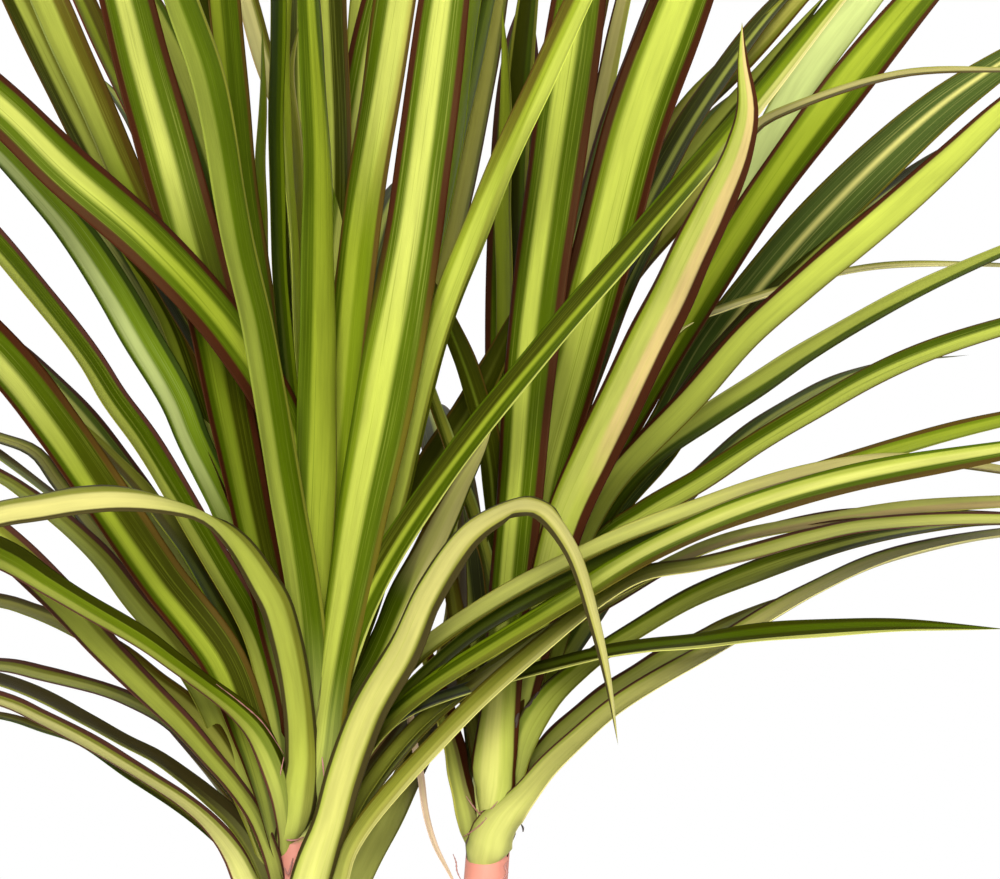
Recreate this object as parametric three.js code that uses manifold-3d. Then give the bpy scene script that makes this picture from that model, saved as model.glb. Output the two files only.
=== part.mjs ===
// A potted sunray Madagascar dragon tree: two canes in one nursery pot, each with a crown of strap leaves.
// Millimetres, +Z up. The origin is the middle of the pot's underside, and -Y faces the viewer.

import * as THREE from "three";
import { mergeVertices } from "three/addons/utils/BufferGeometryUtils.js";
import Module from "manifold-3d";

const wasm = await Module();
wasm.setup();

// The reference view: a level look along +Y at the two crowns, cropped close.
const PICTURE_CENTRE_COLUMN = 500;
const PICTURE_CENTRE_ROW = 439.5;
const MM_PER_PIXEL = 0.4;
const VIEW_DISTANCE = 1800;
const VIEW_CENTRE_X = 45;
const VIEW_CENTRE_Z = 468;
const BETWEEN_CROWNS_COLUMN = 387;
const BETWEEN_CROWNS_ROW = 860;
const DEPTH_REACH = 900;

// The pot, its soil and the canes. Neighbours that touch keep GAP between them.
const GAP = 0.3;
const POT_HEIGHT = 150;
const POT_TOP_RADIUS = 85;
const POT_FOOT_RADIUS = 62;
const POT_WALL = 2.5;
const POT_SIDES = 36;
const FOOT_BEVEL = 2;
const COLLAR_HEIGHT = 24;
const COLLAR_STEP = 3;
const COLLAR_BEVEL = 1.5;
const RIM_BEVEL = 1;
const DRAIN_HOLES = 6;
const DRAIN_RADIUS = 5;
const DRAIN_CIRCLE = 46;
const DRAIN_SIDES = 10;
const SOIL_BELOW_RIM = 18;
const SOIL_SIDES = 30;
const SOIL_EDGE_CLEARANCE = 0.6;
const SOIL_SLOPE = 14;
const SOIL_MOUND_RADIUS = 24;
const SOIL_MOUND_HEIGHT = 4;
const CANE_HOLE_SIDES = 16;
const CANE_DEPTH_IN_SOIL = 62;
const CANE_RADIUS = 8.8;
const CANE_SIDES = 10;
const CANE_BEVEL = 1;
const SCAR_SPACING = 12;
const SCAR_HEIGHT = 0.6;
const SCAR_RISE = 0.15;
const LEFT_CANE_X = -39;
const RIGHT_CANE_X = 39;
const UNDER_COLLAR = POT_HEIGHT - COLLAR_HEIGHT;
const SOIL_SURFACE = POT_HEIGHT - SOIL_BELOW_RIM;
const CANE_FOOT = SOIL_SURFACE - CANE_DEPTH_IN_SOIL + GAP;

// The two shoots: where each crown starts, and the line that its leaves grow from
const SHOOT_SIDES = 8;
const SHOOT_RINGS = 6;
const SHOOT_TIP_RADIUS = 5;
const LEFT_SHOOT = {
  line: [[LEFT_CANE_X, 0, 264], [-37, 0, 312], [-33, 0, 360], [-31, 0, 412]],
  backBearing: 115,
  seed: 1,
};
const RIGHT_SHOOT = {
  line: [[RIGHT_CANE_X, 0, 288], [43, 0, 340], [47, 0, 384], [51, 0, 428]],
  backBearing: 58,
  seed: 28,
};

// Blades: widest at the middle, folded a little along their length, and bending down by their own weight
const BLADE_ROOT_THICKNESS = 2.2;
const BLADE_THICKNESS = 1.5;
const BLADE_TIP_THICKNESS = 0.7;
const BLADE_FOLD = 0.1;
const BASE_WIDTH_SHARE = 0.66;
const WIDEST_AT = 0.5;
const TAPER_POWER = 3.2;
const MIN_SEGMENTS = 5;
const MAX_SEGMENTS = 12;
const ROOT_DROP = 26;
const ROOT_OFFSET = 0.45;
const LOWEST_ROOT = 7;
const HIGHEST_ROOT = 4;
const LEAST_UNSEEN = 45;
const UNSEEN_STEPS = 3;
const DROOP_PER_MM = 1 / 260;
const UPRIGHT_DROOP = 0.25;
const SLIVER = 0.01;

// How a blade turns to look narrow: the narrowest look, and where the turn stops changing near the tip
const LEAST_WIDTH_SHARE = 0.05;
const LEAST_LOOK = 0.04;
const TURN_KEPT_FROM = 0.75;
const TURN_KEPT_PAST = 0.8;
const FOLD_READ_AT = 0.35;
const INNER_SIDE_RISE = 60;

// Leaves in view. Each row: name, width and full length in mm (0 where the tip shows), and its route from
// root to tip. A route point is the column and row where it shows in the reference view, how far it stands
// in front of the crowns' plane in mm, and how broad the leaf looks there in pixels. The distances in
// front are for leaves close to the crowns' feet: they grow with the distance from there, as leaves spread.
const LEFT_LEAVES = [
  ["low 1", 18, 360, [[252, 885, 14, 26], [235, 854, 16, 22], [208, 823, 18, 15], [181, 801, 20, 12],
    [154, 784, 22, 11], [127, 768, 25, 11], [85, 743, 27, 12], [42, 721, 29, 11], [0, 703, 30, 10]]],
  ["low 2", 18, 370, [[265, 879, 8, 18], [250, 846, 8, 18], [232, 821, 8, 17], [208, 799, 7, 15],
    [181, 778, 6, 12], [154, 759, 5, 10], [127, 745, 5, 9], [85, 722, 4, 9], [0, 683, 0, 9]]],
  ["low 3", 16, 340, [[268, 858, 4, 16], [255, 829, 4, 15], [238, 802, 2, 13], [215, 772, -2, 13],
    [170, 726, -8, 12], [130, 703, -10, 12], [100, 691, -13, 11], [42, 677, -18, 12],
    [0, 668, -22, 11]]],
  ["low 4", 20, 400, [[274, 868, 14, 15], [266, 843, 15, 15], [254, 816, 17, 15], [232, 785, 19, 15],
    [206, 756, 21, 17], [181, 728, 23, 19], [157, 704, 25, 21], [127, 674, 27, 24], [98, 645, 28, 27],
    [50, 592, 29, 32], [0, 545, 30, 34]]],
  ["low 5", 20, 380, [[284, 800, 16, 20], [275, 768, 20, 24], [258, 735, 24, 24], [236, 712, 28, 19],
    [205, 688, 32, 15], [172, 664, 37, 16], [142, 643, 41, 18], [85, 609, 46, 19], [45, 585, 47, 22],
    [0, 558, 48, 28]]],
  ["low 6", 18, 360, [[270, 850, 6, 24], [240, 785, 6, 22], [215, 740, 5, 20], [185, 708, 3, 20],
    [155, 685, 1, 19], [120, 657, -1, 18], [70, 630, -4, 14], [30, 613, -8, 11], [0, 604, -10, 11]]],
  ["low 7", 10, 350, [[256, 880, 6, 14], [205, 828, 6, 12], [130, 775, 5, 10], [80, 743, 4, 7],
    [42, 730, 3, 6], [0, 717, 2, 5]]],
  ["side 1", 18, 380, [[262, 836, 7, 24], [246, 790, 6, 28], [228, 745, 2, 29], [203, 692, -2, 27],
    [169, 645, -4, 22], [133, 602, -5, 21], [103, 564, -6, 19], [80, 541, -7, 17], [55, 519, -8, 15],
    [25, 496, -9, 12], [0, 480, -10, 9]]],
  ["side 2", 16, 360, [[268, 800, 2, 22], [250, 750, -4, 20], [225, 690, -10, 16], [190, 640, -14, 14],
    [110, 553, -18, 12], [55, 484, -21, 11], [33, 455, -22, 10], [0, 441, -23, 9]]],
  ["side 3", 12, 350, [[262, 790, -10, 14], [200, 665, -24, 8], [150, 602, -28, 7], [90, 530, -30, 6],
    [0, 458, -32, 6]]],
  ["side 4", 24, 440, [[272, 826, 10, 24], [264, 788, 13, 32], [250, 738, 14, 38], [222, 662, 16, 44],
    [160, 580, 16, 44], [102, 497, 13, 44], [56, 430, 8, 44], [0, 360, 2, 46]]],
  ["side 5", 16, 0, [[285, 830, -2, 26], [268, 760, -4, 26], [240, 650, -8, 20], [215, 600, -10, 17],
    [160, 515, -12, 14], [80, 425, -15, 10], [60, 405, -15, 4]]],
  ["side 6", 18, 400, [[288, 790, 8, 26], [281, 735, 8, 28], [257, 640, 8, 27], [215, 562, 6, 26],
    [169, 485, 3, 25], [140, 438, 2, 25], [111, 398, 1, 24], [90, 365, 0, 22], [54, 317, -1, 22],
    [0, 251, -3, 22]]],
  ["side 7", 14, 0, [[280, 720, -6, 14], [265, 640, -8, 10], [235, 560, -11, 9], [195, 470, -13, 6],
    [185, 440, -14, 3]]],
  ["side 8", 18, 420, [[298, 760, -2, 26], [288, 690, -4, 28], [270, 620, -6, 28], [240, 545, -8, 28],
    [215, 490, -8, 29], [190, 438, -8, 31], [175, 401, -8, 34], [139, 338, -8, 37], [114, 295, -9, 36],
    [68, 227, -11, 33], [42, 197, -12, 28], [0, 152, -14, 25]]],
  ["side 9", 14, 0, [[292, 720, -12, 18], [270, 620, -14, 20], [235, 520, -16, 22], [201, 415, -18, 22],
    [172, 330, -20, 19], [150, 290, -22, 15], [120, 250, -24, 3]]],
  ["high 1", 22, 450, [[303, 700, 14, 30], [305, 600, 18, 36], [305, 520, 22, 38], [290, 430, 26, 40],
    [235, 335, 32, 45], [150, 240, 34, 50], [68, 169, 33, 52], [0, 103, 30, 48]]],
  ["high 2", 20, 400, [[304, 640, -18, 20], [280, 520, -20, 24], [230, 400, -20, 27], [170, 290, -20, 28],
    [95, 160, -20, 30], [17, 0, -20, 30]]],
  ["high 3", 18, 400, [[306, 620, -12, 20], [285, 500, -12, 26], [240, 390, -12, 28], [150, 230, -12, 31],
    [78, 70, -12, 32], [48, 0, -12, 32]]],
  ["high 4", 14, 0, [[300, 560, -26, 12], [250, 430, -28, 12], [203, 310, -30, 12], [147, 205, -30, 12],
    [122, 145, -30, 11], [110, 112, -30, 8], [97, 80, -30, 3]]],
  ["high 5", 16, 400, [[302, 560, -34, 14], [260, 400, -36, 18], [200, 250, -38, 20], [118, 80, -38, 20],
    [82, 0, -38, 20]]],
  ["high 6", 24, 450, [[302, 720, 8, 34], [275, 620, 10, 36], [255, 540, 12, 38], [230, 420, 14, 44],
    [207, 300, 14, 52], [176, 190, 13, 58], [158, 125, 10, 58], [140, 60, 7, 55], [125, 0, 4, 49]]],
  ["high 7", 18, 420, [[312, 720, 20, 34], [310, 640, 26, 34], [303, 580, 32, 34], [280, 440, 42, 32],
    [262, 330, 46, 30], [243, 250, 47, 30], [222, 130, 47, 31], [208, 68, 46, 32], [184, 0, 44, 34]]],
  ["upright 1", 18, 400, [[308, 640, 0, 26], [290, 500, 0, 28], [270, 380, 0, 29], [241, 200, 0, 29],
    [222, 0, 0, 29]]],
  ["upright 2", 18, 400, [[306, 620, -10, 22], [285, 470, -12, 24], [255, 300, -14, 25], [222, 120, -14, 25],
    [195, 0, -14, 25]]],
  ["upright 3", 16, 400, [[312, 600, -34, 20], [318, 420, -38, 20], [305, 240, -42, 20],
    [285, 130, -45, 20], [262, 60, -46, 19], [245, 0, -46, 18]]],
  ["upright 4", 14, 0, [[308, 600, -24, 16], [285, 420, -26, 14], [262, 290, -28, 12], [258, 180, -28, 9],
    [262, 80, -28, 6], [262, 24, -28, 2]]],
  ["upright 5", 16, 400, [[310, 620, 10, 20], [300, 500, 12, 16], [280, 320, 12, 13], [273, 160, 12, 13],
    [275, 0, 12, 13]]],
  ["upright 6", 14, 390, [[310, 600, -6, 14], [301, 470, -8, 5], [291, 240, -8, 7], [281, 80, -8, 10],
    [283, 0, -8, 11]]],
  ["upright 7", 14, 0, [[312, 560, -30, 14], [305, 400, -34, 14], [296, 170, -38, 12], [290, 70, -38, 12],
    [300, 20, -38, 8]]],
  ["upright 8", 20, 400, [[310, 700, 20, 34], [312, 600, 23, 38], [318, 470, 23, 40], [321, 320, 22, 34],
    [321, 160, 18, 26], [312, 0, 14, 18]]],
  ["upright 9", 18, 400, [[318, 640, -14, 24], [330, 480, -16, 26], [338, 320, -18, 28], [341, 150, -20, 28],
    [335, 0, -20, 28]]],
  ["upright 10", 16, 400, [[320, 620, -40, 18], [338, 450, -44, 20], [348, 250, -46, 20], [362, 0, -46, 20]]],
  ["upright 11", 20, 410, [[318, 680, 6, 28], [328, 540, 8, 34], [343, 370, 10, 40], [356, 240, 10, 40],
    [393, 0, 10, 40]]],
  ["upright 12", 24, 430, [[318, 760, 20, 34], [325, 710, 24, 35], [335, 650, 28, 38], [357, 530, 35, 50],
    [385, 390, 40, 60], [410, 240, 42, 58], [443, 0, 40, 52]]],
  ["upright 13", 12, 0, [[322, 600, -22, 14], [345, 430, -26, 10], [367, 290, -28, 8], [377, 153, -28, 3]]],
  ["lean 1", 16, 400, [[326, 620, -10, 18], [360, 480, -14, 16], [405, 360, -18, 15], [449, 200, -20, 14],
    [477, 0, -20, 14]]],
  ["lean 2", 16, 400, [[326, 600, -26, 18], [370, 450, -30, 16], [420, 320, -32, 15], [460, 150, -34, 14],
    [492, 0, -34, 14]]],
  ["lean 3", 16, 400, [[326, 600, -42, 18], [375, 440, -46, 20], [430, 330, -48, 20], [475, 150, -48, 20],
    [501, 0, -48, 20]]],
  ["lean 4", 18, 420, [[335, 680, 14, 26], [372, 590, 20, 28], [400, 490, 28, 28], [433, 355, 38, 28],
    [487, 210, 50, 28], [582, 0, 60, 25]]],
  ["lean 5", 18, 430, [[315, 745, 18, 32], [345, 650, 28, 32], [395, 550, 40, 28], [495, 412, 58, 25],
    [615, 270, 70, 25], [740, 125, 78, 22], [840, 0, 80, 18]]],
  ["lean 6", 18, 0, [[322, 700, -2, 28], [355, 610, -4, 32], [415, 500, -13, 34], [465, 420, -16, 33],
    [490, 375, -17, 26], [530, 285, -18, 4]]],
  ["lean 7", 18, 0, [[322, 768, 6, 20], [347, 715, 10, 24], [379, 662, 14, 30], [406, 602, 18, 34],
    [436, 542, 23, 30], [461, 490, 28, 20], [482, 450, 31, 12], [492, 428, 31, 4]]],
  ["front 1", 20, 0, [[303, 905, 22, 40], [314, 868, 24, 41], [327, 829, 26, 37], [342, 775, 32, 38],
    [364, 715, 40, 37], [400, 650, 53, 34], [427, 592, 62, 30], [468, 533, 75, 25], [512, 507, 84, 17],
    [530, 505, 88, 14], [548, 512, 92, 15], [575, 550, 99, 20], [597, 620, 106, 15], [609, 675, 110, 9],
    [618, 745, 112, 2]]],
  ["front 2", 18, 400, [[292, 848, 5, 26], [292, 838, 10.5, 28], [297, 812, 14, 34], [300, 788, 17, 37],
    [303, 763, 21, 34], [303, 736, 25, 31], [299, 695, 32, 30], [289, 640, 44, 30], [279, 605, 52, 30],
    [264, 578, 58, 28], [245, 550, 64, 23], [226, 530, 69, 14], [209, 517, 71, 5], [193, 509, 72, 6],
    [155, 499, 73, 17], [116, 495, 74, 25], [77, 497, 75, 28], [40, 503, 76, 27], [0, 510, 76, 25]]],
  ["reach 1", 16, 420, [[322, 812, 6, 20], [345, 778, 12, 20], [375, 722, 28, 19], [412, 663, 40, 18],
    [500, 601, 52, 16], [600, 549, 60, 15], [699, 510, 66, 15], [754, 490, 68, 13], [850, 466, 71, 10],
    [900, 461, 72, 10], [1000, 472, 72, 10]]],
  ["reach 2", 18, 430, [[330, 850, 8, 20], [345, 795, 14, 18], [370, 745, 24, 17], [400, 713, 36, 17],
    [440, 683, 46, 17], [500, 645, 58, 18], [570, 603, 67, 19], [655, 552, 76, 21], [800, 495, 86, 25],
    [1000, 453, 90, 27]]],
  ["reach 3", 12, 420, [[330, 870, 8, 16], [360, 800, 14, 14], [420, 725, 24, 12], [500, 665, 34, 12],
    [610, 603, 42, 11], [699, 553, 47, 11], [754, 535, 50, 10], [850, 517, 56, 9], [1000, 518, 62, 9]]],
  ["reach 4", 16, 430, [[335, 900, 16, 22], [352, 850, 22, 19], [400, 785, 34, 18], [500, 684, 52, 17],
    [606, 598, 64, 15], [645, 577, 66, 13], [699, 567, 69, 12], [754, 555, 72, 14], [809, 540, 74, 13],
    [863, 528, 74, 12], [1000, 521, 74, 12]]],
  ["reach 5", 14, 0, [[320, 860, 10, 18], [345, 800, 14, 12], [375, 745, 22, 10], [410, 713, 28, 10],
    [500, 682, 40, 10], [590, 658, 47, 11], [645, 649, 51, 11], [699, 643, 55, 13], [754, 636, 57, 17],
    [809, 631, 59, 19], [863, 628, 61, 15], [918, 627, 63, 9], [1005, 629, 66, 3]]],
  ["reach 6", 16, 420, [[326, 812, 8, 16], [372, 738, 18, 14], [450, 655, 38, 13], [550, 592, 56, 14],
    [740, 506, 62, 16], [860, 461, 64, 16], [1000, 422, 64, 16]]],
  ["reach 7", 12, 420, [[335, 850, 4, 12], [420, 735, 24, 9], [520, 655, 46, 9], [620, 592, 52, 10],
    [720, 545, 56, 11], [880, 514, 57, 12], [1000, 503, 58, 12]]],
  ["back 1", 18, 0, [[352, 900, -4, 28], [362, 880, -6, 28], [408, 785, -14, 28], [445, 690, -24, 26],
    [455, 640, -30, 24], [460, 590, -36, 20], [462, 500, -44, 3]]],
  ["back 2", 14, 0, [[345, 840, 2, 16], [365, 785, -2, 18], [400, 735, -8, 15], [440, 670, -16, 8],
    [450, 640, -18, 3]]],
  ["dry strip", 6, 0, [[322, 760, -4, 8], [350, 700, -2, 8], [378, 665, 6, 8], [394, 655, 10, 8],
    [402, 680, 14, 7], [418, 770, 17, 6], [432, 840, 18, 6], [452, 879, 18, 6], [462, 905, 18, 4]]],
  ["shade 1", 12, 0, [[300, 680, -20, 14], [270, 570, -22, 14], [256, 460, -22, 14], [255, 410, -24, 12],
    [250, 330, -24, 2]]],
  ["shade 2", 12, 0, [[303, 660, -30, 12], [275, 580, -30, 10], [265, 480, -30, 10], [260, 350, -30, 2]]],
];

const RIGHT_LEAVES = [
  ["upright 1", 26, 450, [[487, 806, 13, 30], [489, 790, 15, 43], [491, 765, 17, 45], [493, 735, 18, 42],
    [498, 690, 18, 38], [506, 600, 20, 42], [518, 470, 22, 47], [528, 350, 20, 52], [545, 220, 16, 55],
    [578, 0, 10, 58]]],
  ["upright 2", 27, 470, [[505, 790, 6, 30], [520, 700, 8, 38], [527, 600, 8, 42], [546, 480, 8, 48],
    [571, 385, 8, 54], [600, 275, 8, 60], [638, 126, 4, 62], [683, 0, -2, 63]]],
  ["front 1", 22, 0, [[508, 745, 6, 24], [518, 695, 12, 29], [532, 640, 21, 33], [560, 525, 38, 41],
    [592, 452, 48, 45], [641, 350, 66, 46], [666, 300, 74, 44], [690, 250, 84, 42], [712, 205, 92, 34],
    [737, 150, 100, 22], [746, 110, 104, 16], [742, 60, 106, 8], [742, 22, 107, 2]]],
  ["side 1", 22, 450, [[508, 790, -6, 26], [530, 700, -10, 30], [565, 590, -16, 36], [612, 505, -22, 40],
    [660, 446, -24, 42], [716, 349, -28, 44], [781, 266, -32, 48], [836, 205, -34, 48], [890, 152, -34, 48],
    [945, 104, -34, 45], [1000, 65, -34, 34]]],
  ["side 2", 20, 450, [[506, 757, -4, 24], [534, 640, -4, 28], [568, 530, -4, 32], [642, 400, -4, 34],
    [721, 268, -4, 36], [790, 164, -4, 38], [845, 90, -4, 41], [887, 36, -4, 43], [917, 0, -4, 44]]],
  ["side 3", 18, 430, [[505, 800, 6, 24], [530, 690, 10, 26], [572, 560, 16, 26], [617, 482, 20, 24],
    [645, 450, 20, 25], [699, 395, 22, 27], [754, 333, 22, 27], [809, 284, 22, 29], [863, 239, 22, 32],
    [918, 190, 22, 32], [960, 152, 22, 29], [1000, 114, 22, 21]]],
  ["side 4", 18, 400, [[505, 800, -2, 22], [540, 680, 0, 22], [590, 540, 4, 24], [640, 471, 6, 24],
    [713, 417, 6, 24], [765, 384, 4, 23], [809, 355, 2, 20], [863, 322, 0, 16], [918, 293, -2, 15],
    [1000, 254, -6, 13]]],
  ["side 5", 17, 410, [[508, 810, 4, 20], [545, 690, 6, 20], [598, 550, 12, 20], [645, 516, 15, 22],
    [699, 484, 18, 22], [754, 449, 19, 20], [809, 416, 20, 20], [863, 384, 20, 20], [918, 359, 20, 20],
    [1000, 330, 20, 17]]],
  ["low 1", 18, 400, [[519, 775, 12, 16], [525, 748, 14, 25], [536, 722, 16, 28], [554, 697, 18, 25],
    [580, 673, 21, 19], [606, 652, 25, 17], [645, 628, 27, 17], [699, 598, 30, 18], [754, 575, 31, 20],
    [809, 556, 32, 20], [863, 541, 33, 16], [918, 531, 33, 11], [1000, 523, 34, 8]]],
  ["low 2", 20, 400, [[485, 862, 8.5, 45], [488, 851, 12.5, 46], [492, 835, 14.5, 43],
    [505, 814, 18, 33], [526, 792, 21, 24], [548, 767, 24, 21], [582, 737, 28, 18], [617, 709, 32, 16],
    [664, 679, 36, 15], [705, 656, 38, 14], [740, 636, 38, 14], [781, 611, 38, 13], [809, 595, 37, 11],
    [863, 569, 35, 10], [918, 552, 33, 8], [1000, 536, 30, 5]]],
  ["low 3", 16, 0, [[505, 815, 0, 14], [527, 772, 3, 11], [550, 746, 1, 14], [577, 721, -3, 17],
    [617, 691, -7, 18], [664, 661, -9, 17], [690, 647, -10, 14], [720, 630, -11, 9], [760, 609, -13, 6],
    [803, 592, -14, 3]]],
  ["high 1", 18, 410, [[512, 700, -26, 20], [560, 470, -30, 24], [610, 290, -34, 26], [664, 152, -36, 24],
    [699, 105, -36, 24], [727, 76, -36, 26], [797, 0, -36, 26]]],
  ["high 2", 16, 0, [[512, 700, -42, 20], [560, 480, -46, 22], [605, 310, -48, 22], [675, 185, -50, 22],
    [770, 65, -50, 20], [830, -10, -50, 3]]],
  ["high 3", 19, 420, [[512, 720, -14, 24], [560, 570, -16, 26], [650, 390, -18, 26], [735, 215, -20, 26],
    [776, 130, -20, 27], [825, 52, -20, 31], [866, 0, -20, 32]]],
  ["thin 1", 12, 430, [[505, 790, 8, 16], [530, 625, 14, 14], [577, 487, 26, 13], [622, 402, 38, 12],
    [675, 307, 48, 12], [720, 212, 56, 11], [742, 158, 60, 10], [757, 130, 62, 9], [800, 107, 64, 9],
    [900, 76, 66, 9], [1000, 71, 66, 9]]],
  ["thin 2", 10, 400, [[508, 780, 2, 12], [545, 620, 0, 10], [605, 470, -2, 8], [650, 370, -4, 7],
    [683, 327, -5, 7], [727, 309, -6, 7], [779, 292, -8, 7], [830, 276, -9, 6], [877, 268, -10, 6],
    [951, 265, -12, 6], [1000, 266, -14, 5]]],
  ["high 4", 14, 0, [[512, 690, -52, 16], [555, 450, -56, 18], [620, 295, -58, 20], [695, 200, -58, 19],
    [770, 80, -60, 3]]],
  ["high 5", 14, 400, [[508, 740, -16, 16], [530, 560, -18, 18], [560, 380, -20, 18], [595, 150, -22, 18],
    [625, 0, -22, 18]]],
  ["high 6", 12, 0, [[503, 720, -24, 16], [508, 400, -28, 16], [505, 200, -30, 16], [507, 90, -30, 14],
    [502, 5, -30, 3]]],
  ["high 7", 18, 400, [[505, 700, -36, 20], [512, 520, -38, 24], [516, 330, -40, 26], [520, 110, -42, 26],
    [530, 0, -42, 26]]],
  ["back 1", 16, 0, [[502, 690, -2, 22], [498, 600, -2, 23], [490, 470, 0, 23], [478, 410, 2, 23],
    [450, 330, 5, 19], [412, 250, 7, 3]]],
  ["back 2", 12, 0, [[500, 660, 2, 14], [485, 560, 6, 13], [455, 470, 10, 12], [430, 395, 12, 11],
    [400, 320, 12, 3]]],
  ["low 4", 14, 0, [[472, 818, 7, 24], [463, 785, 8, 22], [455, 750, 7, 21], [443, 710, 5, 19],
    [430, 670, 2, 15], [412, 615, -3, 3]]],
  ["low 5", 14, 0, [[485, 800, 0, 22], [475, 740, -2, 21], [465, 690, -4, 20], [452, 600, -10, 16],
    [442, 530, -14, 3]]],
];

// Leaves behind, which only show from the sides and the back: a spiral of the golden angle, kept to the
// half that faces away from the viewer, older ones lower and leaning further out.
const BACK_LEAVES = 9;
const BACK_SPREAD = 90;
const BACK_WANDER = 8;
const GOLDEN_SHARE = 0.618034;
const BACK_LEAF_WIDTH = 20;
const BACK_LEAF_LENGTH = 370;
const BACK_LENGTH_SHARES = [0.9, 1.1];
const BACK_WIDTH_SHARES = [0.85, 1.1];
const BACK_SEGMENTS = 6;
const YOUNGEST_BELOW_TOP = 8;
const OLDEST_ABOVE_FOOT = 22;
const YOUNG_RISE = 10;
const OLD_RISE = 40;
const YOUNG_FALL = 45;
const OLD_FALL = 105;
const ARCH_POWER = 1.4;
const BACK_INNER_RISE = 0.5;

const TOWARD_VIEWER = new THREE.Vector3(0, -1, 0);
const UP = new THREE.Vector3(0, 0, 1);

// A repeatable source of numbers from 0 to 1
function seeded(seed) {
  let state = seed;
  return () => {
    state = (state * 1664525 + 1013904223) % 4294967296;
    return state / 4294967296;
  };
}

function depthAt(column, row, toward) {
  const out = Math.hypot(column - BETWEEN_CROWNS_COLUMN, row - BETWEEN_CROWNS_ROW);
  return toward * (1 + out / DEPTH_REACH);
}

function scaleAt(depth) {
  return (MM_PER_PIXEL * (VIEW_DISTANCE - depth)) / VIEW_DISTANCE;
}

function placeInView(column, row, depth) {
  const scale = scaleAt(depth);
  const x = VIEW_CENTRE_X + (column - PICTURE_CENTRE_COLUMN) * scale;
  const z = VIEW_CENTRE_Z + (PICTURE_CENTRE_ROW - row) * scale;
  return new THREE.Vector3(x, -depth, z);
}

function shootFoot(shoot) {
  return shoot.line[0][2];
}

function shootTop(shoot) {
  return shoot.line.at(-1)[2];
}

function shootRadius(shoot, height) {
  const share = (height - shootFoot(shoot)) / (shootTop(shoot) - shootFoot(shoot));
  return THREE.MathUtils.lerp(CANE_RADIUS, SHOOT_TIP_RADIUS, THREE.MathUtils.clamp(share, 0, 1) ** 2);
}

function shootPoint(shoot, height) {
  const line = shoot.line;
  const bounded = THREE.MathUtils.clamp(height, line[0][2], line[line.length - 1][2]);
  let k = 0;
  while (k < line.length - 2 && bounded > line[k + 1][2]) {
    k += 1;
  }
  const share = (bounded - line[k][2]) / (line[k + 1][2] - line[k][2]);
  return new THREE.Vector3(...line[k]).lerp(new THREE.Vector3(...line[k + 1]), share);
}

// The share of its full width that a blade has, from root (0) to tip (1)
function widthShare(along) {
  if (along < WIDEST_AT) {
    return THREE.MathUtils.lerp(BASE_WIDTH_SHARE, 1, THREE.MathUtils.smoothstep(along, 0, WIDEST_AT));
  }
  return 1 - ((along - WIDEST_AT) / (1 - WIDEST_AT)) ** TAPER_POWER;
}

function thicknessAt(along) {
  if (along < WIDEST_AT) {
    return THREE.MathUtils.lerp(BLADE_ROOT_THICKNESS, BLADE_THICKNESS, along / WIDEST_AT);
  }
  const past = (along - WIDEST_AT) / (1 - WIDEST_AT);
  return THREE.MathUtils.lerp(BLADE_THICKNESS, BLADE_TIP_THICKNESS, past);
}

// Carries a leaf on past the picture's edge, drooping a little more with each step
function extendPast(points, seen, missing) {
  const heading = points.at(-1).clone().sub(points.at(-2)).normalize();
  const step = missing / UNSEEN_STEPS;
  for (let k = 0; k < UNSEEN_STEPS; k += 1) {
    const level = Math.hypot(heading.x, heading.y);
    const droop = step * DROOP_PER_MM * THREE.MathUtils.lerp(UPRIGHT_DROOP, 1, level);
    heading.addScaledVector(UP, -droop).normalize();
    points.push(points.at(-1).clone().addScaledVector(heading, step));
    seen.push(seen.at(-1));
  }
}

// The line of a leaf in view: evenly spaced stations, each with its place and how broad it looks
function viewedSpine(shoot, long, route, segments) {
  const depths = route.map(([column, row, toward]) => depthAt(column, row, toward));
  const points = route.map(([column, row], k) => placeInView(column, row, depths[k]));
  const seen = route.map(([, , , pixels], k) => pixels * scaleAt(depths[k]));
  const lowest = shootFoot(shoot) + LOWEST_ROOT;
  const highest = shootTop(shoot) - HIGHEST_ROOT;
  const rootHeight = THREE.MathUtils.clamp(points[0].z - ROOT_DROP, lowest, highest);
  const root = shootPoint(shoot, rootHeight);
  const sideways = points[0].clone().sub(root).setZ(0).normalize();
  points.unshift(root.addScaledVector(sideways, shootRadius(shoot, rootHeight) * ROOT_OFFSET));
  seen.unshift(seen[0]);
  if (long > 0) {
    const shown = new THREE.CatmullRomCurve3(points, false, "centripetal").getLength();
    extendPast(points, seen, Math.max(long - shown, LEAST_UNSEEN));
  }
  const curve = new THREE.CatmullRomCurve3(points, false, "centripetal");
  const breadth = new THREE.CatmullRomCurve3(
    points.map((point, k) => new THREE.Vector3(seen[k], k, 0)), false, "catmullrom");
  return Array.from({ length: segments + 1 }, (unused, k) => {
    const along = k / segments;
    const t = curve.getUtoTmapping(along);
    return { along, place: curve.getPoint(t), way: curve.getTangent(t), looks: breadth.getPoint(t).x };
  });
}

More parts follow.
